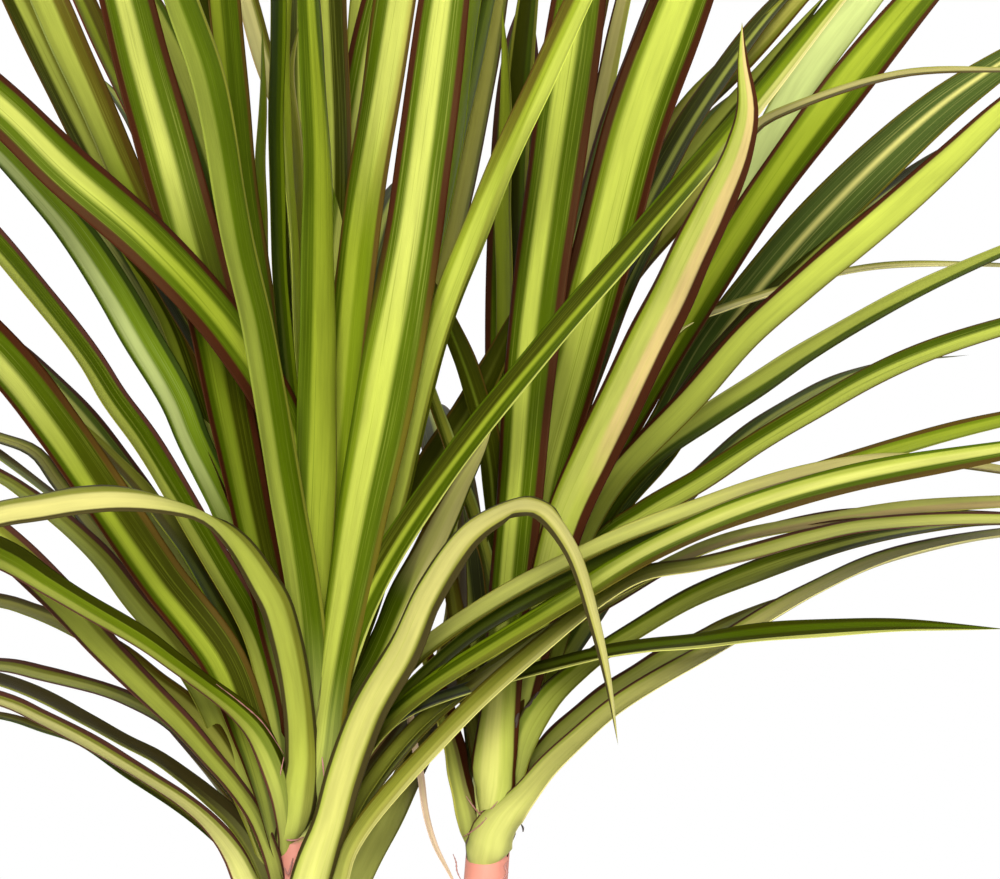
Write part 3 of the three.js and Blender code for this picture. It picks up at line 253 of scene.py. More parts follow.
  ["dry strip", 6, 0, [[322, 760, -4, 8], [350, 700, -2, 8], [378, 665, 6, 8], [394, 655, 10, 8],
    [402, 680, 14, 7], [418, 770, 17, 6], [432, 840, 18, 6], [452, 879, 18, 6], [462, 905, 18, 4]]],
  ["shade 1", 12, 0, [[300, 680, -20, 14], [270, 570, -22, 14], [256, 460, -22, 14], [255, 410, -24, 12],
    [250, 330, -24, 2]]],
  ["shade 2", 12, 0, [[303, 660, -30, 12], [275, 580, -30, 10], [265, 480, -30, 10], [260, 350, -30, 2]]],
]

RIGHT_LEAVES = [
  ["upright 1", 26, 450, [[487, 806, 13, 30], [489, 790, 15, 43], [491, 765, 17, 45], [493, 735, 18, 42],
    [498, 690, 18, 38], [506, 600, 20, 42], [518, 470, 22, 47], [528, 350, 20, 52], [545, 220, 16, 55],
    [578, 0, 10, 58]]],
  ["upright 2", 27, 470, [[505, 790, 6, 30], [520, 700, 8, 38], [527, 600, 8, 42], [546, 480, 8, 48],
    [571, 385, 8, 54], [600, 275, 8, 60], [638, 126, 4, 62], [683, 0, -2, 63]]],
  ["front 1", 22, 0, [[508, 745, 6, 24], [518, 695, 12, 29], [532, 640, 21, 33], [560, 525, 38, 41],
    [592, 452, 48, 45], [641, 350, 66, 46], [666, 300, 74, 44], [690, 250, 84, 42], [712, 205, 92, 34],
    [737, 150, 100, 22], [746, 110, 104, 16], [742, 60, 106, 8], [742, 22, 107, 2]]],
  ["side 1", 22, 450, [[508, 790, -6, 26], [530, 700, -10, 30], [565, 590, -16, 36], [612, 505, -22, 40],
    [660, 446, -24, 42], [716, 349, -28, 44], [781, 266, -32, 48], [836, 205, -34, 48], [890, 152, -34, 48],
    [945, 104, -34, 45], [1000, 65, -34, 34]]],
  ["side 2", 20, 450, [[506, 757, -4, 24], [534, 640, -4, 28], [568, 530, -4, 32], [642, 400, -4, 34],
    [721, 268, -4, 36], [790, 164, -4, 38], [845, 90, -4, 41], [887, 36, -4, 43], [917, 0, -4, 44]]],
  ["side 3", 18, 430, [[505, 800, 6, 24], [530, 690, 10, 26], [572, 560, 16, 26], [617, 482, 20, 24],
    [645, 450, 20, 25], [699, 395, 22, 27], [754, 333, 22, 27], [809, 284, 22, 29], [863, 239, 22, 32],
    [918, 190, 22, 32], [960, 152, 22, 29], [1000, 114, 22, 21]]],
  ["side 4", 18, 400, [[505, 800, -2, 22], [540, 680, 0, 22], [590, 540, 4, 24], [640, 471, 6, 24],
    [713, 417, 6, 24], [765, 384, 4, 23], [809, 355, 2, 20], [863, 322, 0, 16], [918, 293, -2, 15],
    [1000, 254, -6, 13]]],
  ["side 5", 17, 410, [[508, 810, 4, 20], [545, 690, 6, 20], [598, 550, 12, 20], [645, 516, 15, 22],
    [699, 484, 18, 22], [754, 449, 19, 20], [809, 416, 20, 20], [863, 384, 20, 20], [918, 359, 20, 20],
    [1000, 330, 20, 17]]],
  ["low 1", 18, 400, [[519, 775, 12, 16], [525, 748, 14, 25], [536, 722, 16, 28], [554, 697, 18, 25],
    [580, 673, 21, 19], [606, 652, 25, 17], [645, 628, 27, 17], [699, 598, 30, 18], [754, 575, 31, 20],
    [809, 556, 32, 20], [863, 541, 33, 16], [918, 531, 33, 11], [1000, 523, 34, 8]]],
  ["low 2", 20, 400, [[485, 862, 8.5, 45], [488, 851, 12.5, 46], [492, 835, 14.5, 43],
    [505, 814, 18, 33], [526, 792, 21, 24], [548, 767, 24, 21], [582, 737, 28, 18], [617, 709, 32, 16],
    [664, 679, 36, 15], [705, 656, 38, 14], [740, 636, 38, 14], [781, 611, 38, 13], [809, 595, 37, 11],
    [863, 569, 35, 10], [918, 552, 33, 8], [1000, 536, 30, 5]]],
  ["low 3", 16, 0, [[505, 815, 0, 14], [527, 772, 3, 11], [550, 746, 1, 14], [577, 721, -3, 17],
    [617, 691, -7, 18], [664, 661, -9, 17], [690, 647, -10, 14], [720, 630, -11, 9], [760, 609, -13, 6],
    [803, 592, -14, 3]]],
  ["high 1", 18, 410, [[512, 700, -26, 20], [560, 470, -30, 24], [610, 290, -34, 26], [664, 152, -36, 24],
    [699, 105, -36, 24], [727, 76, -36, 26], [797, 0, -36, 26]]],
  ["high 2", 16, 0, [[512, 700, -42, 20], [560, 480, -46, 22], [605, 310, -48, 22], [675, 185, -50, 22],
    [770, 65, -50, 20], [830, -10, -50, 3]]],
  ["high 3", 19, 420, [[512, 720, -14, 24], [560, 570, -16, 26], [650, 390, -18, 26], [735, 215, -20, 26],
    [776, 130, -20, 27], [825, 52, -20, 31], [866, 0, -20, 32]]],
  ["thin 1", 12, 430, [[505, 790, 8, 16], [530, 625, 14, 14], [577, 487, 26, 13], [622, 402, 38, 12],
    [675, 307, 48, 12], [720, 212, 56, 11], [742, 158, 60, 10], [757, 130, 62, 9], [800, 107, 64, 9],
    [900, 76, 66, 9], [1000, 71, 66, 9]]],
  ["thin 2", 10, 400, [[508, 780, 2, 12], [545, 620, 0, 10], [605, 470, -2, 8], [650, 370, -4, 7],
    [683, 327, -5, 7], [727, 309, -6, 7], [779, 292, -8, 7], [830, 276, -9, 6], [877, 268, -10, 6],
    [951, 265, -12, 6], [1000, 266, -14, 5]]],
  ["high 4", 14, 0, [[512, 690, -52, 16], [555, 450, -56, 18], [620, 295, -58, 20], [695, 200, -58, 19],
    [770, 80, -60, 3]]],
  ["high 5", 14, 400, [[508, 740, -16, 16], [530, 560, -18, 18], [560, 380, -20, 18], [595, 150, -22, 18],
    [625, 0, -22, 18]]],
  ["high 6", 12, 0, [[503, 720, -24, 16], [508, 400, -28, 16], [505, 200, -30, 16], [507, 90, -30, 14],
    [502, 5, -30, 3]]],
  ["high 7", 18, 400, [[505, 700, -36, 20], [512, 520, -38, 24], [516, 330, -40, 26], [520, 110, -42, 26],
    [530, 0, -42, 26]]],
  ["back 1", 16, 0, [[502, 690, -2, 22], [498, 600, -2, 23], [490, 470, 0, 23], [478, 410, 2, 23],
    [450, 330, 5, 19], [412, 250, 7, 3]]],
  ["back 2", 12, 0, [[500, 660, 2, 14], [485, 560, 6, 13], [455, 470, 10, 12], [430, 395, 12, 11],
    [400, 320, 12, 3]]],
  ["low 4", 14, 0, [[472, 818, 7, 24], [463, 785, 8, 22], [455, 750, 7, 21], [443, 710, 5, 19],
    [430, 670, 2, 15], [412, 615, -3, 3]]],
  ["low 5", 14, 0, [[485, 800, 0, 22], [475, 740, -2, 21], [465, 690, -4, 20], [452, 600, -10, 16],
    [442, 530, -14, 3]]],
]

# Torn pink edges of sheaths and dry brown flecks: how thick in mm, and columns, rows and depths
TRIMS_LEFT = [
    (0.5, [(216, 684, 34.2), (241, 703, 30.4), (262, 722, 26.6), (284, 754, 21.4)]),
    (0.7, [(284, 757, 21.4), (280, 775, 21), (277, 790, 20), (272, 802, 18)]),
    (0.8, [(280, 837, 10.5), (288, 840, 11.8), (296, 840, 11.6), (304, 837, 9.5)]),
    (0.8, [(293, 858, 9), (291, 866, 10.5), (288, 874, 11.5), (284, 867, 12)]),
    (0.7, [(322, 757, 30), (323, 765, 30), (324, 776, 29)]),
]
TRIMS_RIGHT = [
    (0.6, [(466, 796, 9.3), (473, 806, 9.2), (480, 814, 12.4), (486, 818, 16.4)]),
    (0.6, [(480, 811, 12.6), (487, 813, 14), (492, 808, 16.6), (498, 801, 17.6)]),
    (0.6, [(487, 818, 16.6), (479, 826, 14.6), (471, 832, 11), (463, 837, 7)]),
    (0.6, [(453, 854, 8), (456, 862, 9), (457, 871, 9), (461, 880, 8)]),
    (1.1, [(508, 861, 8), (505, 866, 9), (507, 873, 9), (503, 880, 9)]),
]
FLECKS_RIGHT = [
    (0.9, [(541, 688, 20.2), (537, 694, 19.9), (534, 699, 19.7)]),
    (1.0, [(533, 699, 19.8), (529, 705, 19.5), (524, 708, 19.3)]),
    (1.2, [(519, 713, 24.9), (517, 717, 24.8), (515, 722, 24.4)]),
    (1.1, [(518, 715, 24.9), (517, 721, 24.3), (516, 728, 23.9)]),
    (0.8, [(521, 824, 10), (523, 828, 10), (523, 832, 10)]),
]
# How the tubes of these trims are built, thin out to their ends and get ragged
TRIM_RINGS = 21
TRIM_SIDES = 6
TRIM_END_SHARE = 0.25
TRIM_TAPERS = (0.06, 0.94)
TRIM_RAGGEDNESS = 0.3
TRIM_RAG_STEP = 2.1
TRIM_FLATNESS = 0.6

# How finely a leaf is built: steps along it, and places across it as shares of its width. A loop goes
# over the upper face and back under the lower one
FINE_STEPS = 96
ACROSS = [0, 0.04, 0.1, 0.18, 0.28, 0.39, 0.5, 0.61, 0.72, 0.82, 0.9, 0.96, 1]
LOOP = 2 * len(ACROSS)
LOOP_SHARES = np.array([*ACROSS, *reversed(ACROSS)])
LENGTH_SAMPLES = 401
HEADING_STEP = 1e-4

# How the leaves are shared out to pieces and to rows of each piece's texture map, and the gaps there
LEAVES_A_PIECE = 4
MAP_ROWS_A_LEAF = 4
MAP_END_GAP = 0.004
MAP_SIDE_GAP = 0.05

# The form of a leaf beyond the part's. Thicknesses, the waves' height, where the foot is read and where
# the sheath opens are in mm, and the sheath's ends are shares of the leaf's length
LEAF_THICKNESS = 0.85
EDGE_THICKNESS = 0.3
EDGE_POWER = 3
LEAST_NARROWING = 0.04
SHEATH_OPENS = (25, 95)
SHEATH_ENDS = (0.18, 0.36)
SHEATH_GROWTH = 1.45
SHEATH_CURL = math.radians(72)
BLADE_CURL = math.radians(22)
LEAST_CURL = 0.02
FOOT_READ_AT = 14
FOLD_STATION = int(FINE_STEPS * FOLD_READ_AT)
ROOT_SHARE = 0.5
TURN_EVENS_OUT = (TURN_KEPT_PAST - 0.2, TURN_KEPT_PAST - 0.05)
WAVES = 40
WAVE_SHIFT = 9
WAVE_HEIGHT = 0.3

# The form of the shoots, canes, pot and soil beyond the part's. Lengths are in mm
SHOOT_RINGS = 25
SHOOT_SIDES = 24
CANE_SIDES = 48
CANE_END_BEVEL = 1
# How far up its spacing each point of a leaf scar lies, and how proud it stands, as shares
SCAR_FORM = [(0, 0), (0.08, 0.8), (0.15, 1), (0.3, 0.6), (0.7, 0.15)]
POT_SIDES = 144
ROUNDING_STEPS = 4
RIM_ROUNDING = 1.2
COLLAR_LEDGE = 1
# A groove under the pot's foot: how far inside the foot's edge, and how deep
FOOT_GROOVE = [(9, 0), (8, 0.6), (6, 0.6), (5, 0)]
DRAIN_HOLES = 6
DRAIN_RADIUS = 5
DRAIN_CIRCLE = 46
DRAIN_SIDES = 32
DRAIN_CUT = 10
SHARP_ANGLE = math.radians(40)
SOIL_SIDES = 120
SOIL_RINGS = 34
SOIL_BEVEL = 3
SOIL_SHOULDER = 8
SOIL_DIP = 1
SHRED_STRENGTH = 0.5
# Crumbs: waves of noise per mm, the level where the noise is read, and how tall it stands
CRUMBS = [(0.16, 1.7, 1.3), (0.55, 5.1, 0.9)]
CRUMBS_FADE_OVER = 6
LEAST_CRUMBS = 0.2
SOIL_LUMPS = 700
LUMPS_WITHIN = 0.97
LUMP_SIZES = (1, 3.6)
LUMP_LENGTHS = (1, 1.9)
LUMP_HEIGHTS = (0.4, 0.7)
LUMP_CORNERS = (0.6, 1)
LUMP_TOP_SHARE = 0.7

# Seeds, and the numbers that the source of draws works with
SOIL_SEED = 5
SEED_SHARE = 0.37
DRAW_FACTOR = 1664525
DRAW_STEP = 1013904223
DRAW_RANGE = 2 ** 32

# How a leaf's colours lie on it. Noise is read per mm along or across it and apart for each leaf, blurs and
# the drift of the borders are shares of its width, and the rest are shares or mm from its foot
FOOT_MARGIN_SHARE = 0.8
MARGIN_GROWS = (10, 70)
CENTRE_RIPENS = (60, 240)
YOUNG_SHARE = 0.35
MARGIN_BLUR = 0.025
BAND_BLUR = 0.06
DRIFT_ALONG = 0.012
DRIFT_APART = 5.1
DRIFT_WIDTH = 0.06
STREAK_ALONG = 0.006
STREAK_APART = 17.3
STREAK_BLUR = 0.05
GREEN_STREAKS = 0.4
PALE_STREAKS = 0.22
PALE_FOOT_ENDS = 46.0
PALE_FOOT_BLUR = 34.0
PALE_FOOT_SHARE = 0.45
PATCH_ACROSS = 0.35
PATCH_ALONG = 0.03
PATCH_STRENGTH = 0.56
DULLEST = 0.72
# How much painted shade darkens a leaf towards its margins
EDGE_PAINTED_SHADE = 0.3
VEIN_ALONG = 0.02
SHEEN_TINT = (1.0, 0.96, 0.4, 1.0)

# How high up the shoots turn green and the canes salmon, in mm, and the mottles of bark
SHOOT_GREEN_FROM = 308.5
SHOOT_GREEN_BLUR = 2
YOUNG_BARK_FROM = 225
YOUNG_BARK_BLUR = 45
MOTTLES_A_METRE = (300.0, 300.0, 900.0)

# The stage: sizes and places in metres, and lamps by place, width and power in watts
FLOOR_SIZE = 5
FLOOR_Z = -0.0005
LAMPS = {
    "key": ((-0.1, -2.4, 1.05), 0.9, 104),
    "fill": ((1.5, -1.3, 0.9), 1.2, 18),
    "side": ((-1.5, -1.2, 0.8), 1.0, 16),
}
LIT_POINT = (0.03, 0, 0.47)

# The width of the camera's sensor, in mm
SENSOR_WIDTH = 36

# How much brighter than its own colour a leaf looks in the studio light
LIGHT_GAIN = 2.06

# Colours as 8-bit red, green and blue. Those of leaves, torn edges and canes are as they look in that light
RED = (64, 28, 12)
PLUM = (88, 52, 40)
UMBER = (64, 56, 26)
WINE = (124, 56, 40)
BROWN = (84, 64, 18)
MAUVE = (128, 104, 72)
DARK = (56, 60, 3)
GREEN = (74, 92, 4)
LEAF = (112, 130, 16)
OLIVE = (130, 132, 42)
MOSS = (96, 88, 22)
GRASS = (148, 162, 40)
LIME = (176, 184, 74)
ACID = (192, 202, 80)
YELLOW = (184, 189, 88)
BUTTER = (208, 200, 118)
BRIGHT = (218, 212, 120)
CREAM = (230, 220, 140)
STRAW = (176, 172, 76)
WHEAT = (192, 182, 108)
SALMON = (206, 182, 116)
PEACH = (232, 200, 168)
TAN = (176, 134, 84)
PALE = (202, 203, 104)
GREY = (132, 140, 66)
SAGE = (72, 90, 34)
FRESH = (118, 142, 28)
FADED = (122, 132, 46)
# MINT also paints the sheen in the middle of the left crown's side 8 further out
MINT = (200, 212, 130)
SLATE = (56, 72, 18)
SHEATH = (200, 204, 112)
CANE_PINK = (226, 146, 124)
CANE_ROSE = (208, 124, 104)
CANE_TAN = (186, 150, 120)
CANE_BROWN = (150, 114, 88)
YOUNG_CENTRE = (170, 178, 66)
MEMBRANE_PINK = (172, 112, 100)
DRY_BROWN = (62, 40, 22)
POT_BROWN = (128, 66, 42)
POT_DUSTY = (138, 78, 54)
SOIL_DARK = (26, 19, 14)
SOIL_BROWN = (58, 42, 31)
SOIL_BARK = (92, 66, 46)
FLOOR_WHITE = (236, 236, 236)

# The five bands of colour across a leaf, from the left as it grows
BANDS = ("margin_left", "green_left", "centre", "green_right", "margin_right")

# The look of each leaf: where its first four bands end, as shares of its width, and the five colours
BOLD = (0.12, 0.31, 0.66, 0.88, RED, GREEN, YELLOW, GREEN, RED)
SOFT = (0.07, 0.26, 0.74, 0.93, BROWN, GREEN, LIME, GREEN, BROWN)
DEEP = (0.06, 0.42, 0.60, 0.94, BROWN, DARK, LIME, DARK, BROWN)
LOOKS = {
    "left": {
        "low 1": (0.08, 0.16, 0.66, 0.82, PLUM, CREAM, CREAM, OLIVE, PLUM),
        "low 2": (0.08, 0.20, 0.34, 0.62, OLIVE, OLIVE, MOSS, UMBER, UMBER),
        "low 3": (0.14, 0.30, 0.66, 0.84, PLUM, LIME, PALE, OLIVE, PLUM),
        "low 4": (0.14, 0.22, 0.70, 0.85, PLUM, LIME, LIME, OLIVE, PLUM),
        "low 5": (0.08, 0.14, 0.44, 0.74, PLUM, LIME, LIME, LEAF, DARK),
        "low 6": (0.06, 0.14, 0.74, 0.88, OLIVE, STRAW, STRAW, MOSS, BROWN),
        "low 7": (0.20, 0.40, 0.60, 0.80, GREEN, MOSS, OLIVE, MOSS, BROWN),
        "side 1": (0.07, 0.14, 0.62, 0.84, OLIVE, LIME, LIME, OLIVE, PLUM),
        "side 2": (0.10, 0.30, 0.80, 0.92, DARK, BROWN, STRAW, OLIVE, BROWN),
        "side 3": (0.15, 0.30, 0.60, 0.80, GREY, GREY, GREY, MOSS, BROWN),
        "side 4": (0.10, 0.24, 0.50, 0.88, RED, GREEN, GRASS, DARK, BROWN),
        "side 5": (0.10, 0.30, 0.56, 0.74, LEAF, GREEN, GREEN, DARK, BROWN),
        "side 6": (0.06, 0.12, 0.42, 0.86, OLIVE, LIME, LIME, GREEN, PLUM),
        "side 7": (0.20, 0.40, 0.60, 0.80, WINE, MAUVE, OLIVE, GREEN, RED),
        "side 8": (0.05, 0.12, 0.58, 0.90, FRESH, FRESH, FRESH, GREEN, SLATE),
        "side 9": (0.04, 0.10, 0.48, 0.80, OLIVE, GRASS, GRASS, DARK, BROWN),
        "high 1": (0.16, 0.32, 0.56, 0.86, RED, GREEN, GRASS, GREEN, RED),
        "high 2": (0.08, 0.42, 0.66, 0.92, BROWN, DARK, LIME, OLIVE, BROWN),
        "high 3": (0.10, 0.24, 0.56, 0.74, BROWN, LEAF, LEAF, MOSS, BROWN),
        "high 4": (0.10, 0.30, 0.70, 0.90, BROWN, OLIVE, OLIVE, OLIVE, BROWN),
        "high 5": (0.08, 0.24, 0.50, 0.86, WINE, OLIVE, GRASS, MOSS, BROWN),
        "high 6": (0.12, 0.26, 0.54, 0.86, RED, GREEN, LEAF, DARK, RED),
        "high 7": (0.03, 0.10, 0.34, 0.88, FADED, FADED, FADED, GREEN, OLIVE),
        "upright 1": (0.07, 0.14, 0.42, 0.90, BROWN, GRASS, GRASS, GREEN, BROWN),
        "upright 2": (0.10, 0.40, 0.60, 0.90, BROWN, DARK, GREEN, DARK, BROWN),
        "upright 3": (0.06, 0.12, 0.72, 0.86, SALMON, CREAM, CREAM, OLIVE, MOSS),
        "upright 4": (0.10, 0.30, 0.66, 0.86, OLIVE, LEAF, LEAF, LEAF, OLIVE),
        "upright 5": (0.08, 0.50, 0.64, 0.84, DARK, SLATE, SLATE, GREEN, LEAF),
        "upright 6": (0.03, 0.06, 0.50, 0.94, ACID, ACID, ACID, GRASS, OLIVE),
        "upright 7": (0.08, 0.20, 0.66, 0.86, BROWN, OLIVE, OLIVE, LEAF, DARK),
        "upright 8": (0.04, 0.28, 0.90, 0.96, GREEN, GREEN, GRASS, GRASS, OLIVE),
        "upright 9": (0.03, 0.06, 0.30, 0.80, LIME, LIME, LIME, DARK, BROWN),
        "upright 10": (0.07, 0.14, 0.86, 0.95, OLIVE, LIME, LIME, LIME, OLIVE),
        "upright 11": (0.09, 0.30, 0.60, 0.90, BROWN, GREEN, GRASS, LEAF, BROWN),
        "upright 12": (0.08, 0.20, 0.58, 0.90, GREEN, LEAF, LIME, GREEN, MOSS),
        "upright 13": (0.20, 0.40, 0.60, 0.80, RED, BROWN, MOSS, BROWN, RED),
        "lean 1": (0.06, 0.30, 0.60, 0.94, OLIVE, LEAF, LEAF, LEAF, LEAF),
        "lean 2": (0.10, 0.30, 0.74, 0.90, DARK, GREEN, LEAF, GREEN, OLIVE),
        "lean 3": (0.05, 0.12, 0.70, 0.90, OLIVE, STRAW, STRAW, OLIVE, BROWN),
        "lean 4": (0.05, 0.20, 0.72, 0.88, OLIVE, GRASS, ACID, OLIVE, DARK),
        "lean 5": (0.06, 0.40, 0.56, 0.93, GREEN, DARK, GRASS, GREEN, YELLOW),
        "lean 6": (0.08, 0.40, 0.54, 0.90, BROWN, DARK, DARK, DARK, MOSS),
        "lean 7": (0.06, 0.46, 0.56, 0.92, DARK, GREEN, LIME, CREAM, MOSS),
        "front 1": (0.13, 0.22, 0.80, 0.86, UMBER, LIME, BUTTER, OLIVE, UMBER),
        "front 2": (0.10, 0.20, 0.62, 0.86, UMBER, LIME, LIME, OLIVE, UMBER),
        "reach 1": (0.05, 0.12, 0.68, 0.86, STRAW, PALE, PALE, OLIVE, MOSS),
        "reach 2": (0.10, 0.30, 0.56, 0.90, LEAF, GREEN, GRASS, OLIVE, OLIVE),
        "reach 3": (0.08, 0.24, 0.70, 0.90, MOSS, OLIVE, OLIVE, OLIVE, OLIVE),
        "reach 4": (0.10, 0.42, 0.52, 0.70, MOSS, OLIVE, STRAW, STRAW, BRIGHT),
        "reach 5": (0.06, 0.20, 0.50, 0.76, DARK, DARK, GREEN, DARK, PALE),
        "reach 6": (0.05, 0.20, 0.50, 0.90, OLIVE, GREEN, GREEN, DARK, DARK),
        "reach 7": (0.08, 0.28, 0.72, 0.90, MOSS, MOSS, OLIVE, MOSS, MOSS),
        "back 1": (0.05, 0.12, 0.80, 0.90, STRAW, PALE, PALE, PALE, OLIVE),
        "back 2": (0.10, 0.30, 0.50, 0.70, TAN, BROWN, BROWN, RED, DARK),
        "dry strip": (0.20, 0.40, 0.60, 0.80, SALMON, TAN, TAN, TAN, BROWN),
        "shade 1": (0.10, 0.40, 0.60, 0.90, MOSS, DARK, GREEN, DARK, MOSS),
        "shade 2": (0.10, 0.40, 0.60, 0.90, MOSS, DARK, GREEN, DARK, MOSS),
    },
    "right": {
        "upright 1": (0.10, 0.28, 0.66, 0.90, RED, LIME, BRIGHT, LIME, RED),
        "upright 2": (0.13, 0.24, 0.66, 0.87, RED, LEAF, ACID, GREEN, RED),
        "front 1": (0.10, 0.22, 0.62, 0.84, RED, GRASS, YELLOW, LIME, RED),
        "side 1": (0.05, 0.41, 0.51, 0.95, MOSS, SAGE, BRIGHT, SAGE, MOSS),
        "side 2": (0.10, 0.26, 0.60, 0.88, RED, LEAF, GRASS, GREEN, RED),
        "side 3": (0.12, 0.17, 0.88, 0.96, RED, LIME, ACID, LIME, MOSS),
        "side 4": (0.05, 0.10, 0.50, 0.88, PALE, LIME, LIME, GREEN, DARK),
        "side 5": (0.06, 0.34, 0.90, 0.96, BROWN, GREEN, ACID, LIME, BROWN),
        "low 1": (0.08, 0.26, 0.62, 0.88, UMBER, LEAF, LIME, LIME, OLIVE),
        "low 2": (0.07, 0.16, 0.92, 0.96, PLUM, LIME, BUTTER, BUTTER, CREAM),
        "low 3": (0.12, 0.26, 0.66, 0.86, PLUM, LIME, PALE, LIME, PLUM),
        "high 1": (0.08, 0.18, 0.72, 0.90, OLIVE, STRAW, STRAW, OLIVE, BROWN),
        "high 2": (0.05, 0.12, 0.42, 0.90, OLIVE, LIME, LIME, DARK, DARK),
        "high 3": (0.06, 0.16, 0.88, 0.95, GREY, MINT, MINT, MINT, GREY),
        "thin 1": (0.10, 0.18, 0.48, 0.70, STRAW, WHEAT, WHEAT, MOSS, BROWN),
        "thin 2": (0.08, 0.26, 0.90, 0.95, OLIVE, STRAW, CREAM, CREAM, CREAM),
        "high 4": (0.06, 0.20, 0.52, 0.80, STRAW, STRAW, STRAW, OLIVE, BROWN),
        "high 5": (0.16, 0.34, 0.56, 0.90, RED, DARK, GRASS, GREEN, GREEN),
        "high 6": (0.05, 0.20, 0.80, 0.95, OLIVE, GRASS, GRASS, OLIVE, OLIVE),
        "high 7": (0.10, 0.34, 0.60, 0.82, OLIVE, DARK, DARK, GREEN, OLIVE),
        "back 1": (0.06, 0.44, 0.54, 0.94, DARK, DARK, GREEN, DARK, BROWN),
        "back 2": (0.10, 0.40, 0.60, 0.90, BROWN, DARK, DARK, OLIVE, GREY),
        "low 4": (0.06, 0.18, 0.44, 0.60, STRAW, OLIVE, OLIVE, BROWN, RED),
        "low 5": (0.10, 0.34, 0.66, 0.90, BROWN, MOSS, MOSS, MOSS, BROWN),
    },
}
BACK_LOOKS = [BOLD, SOFT, DEEP]

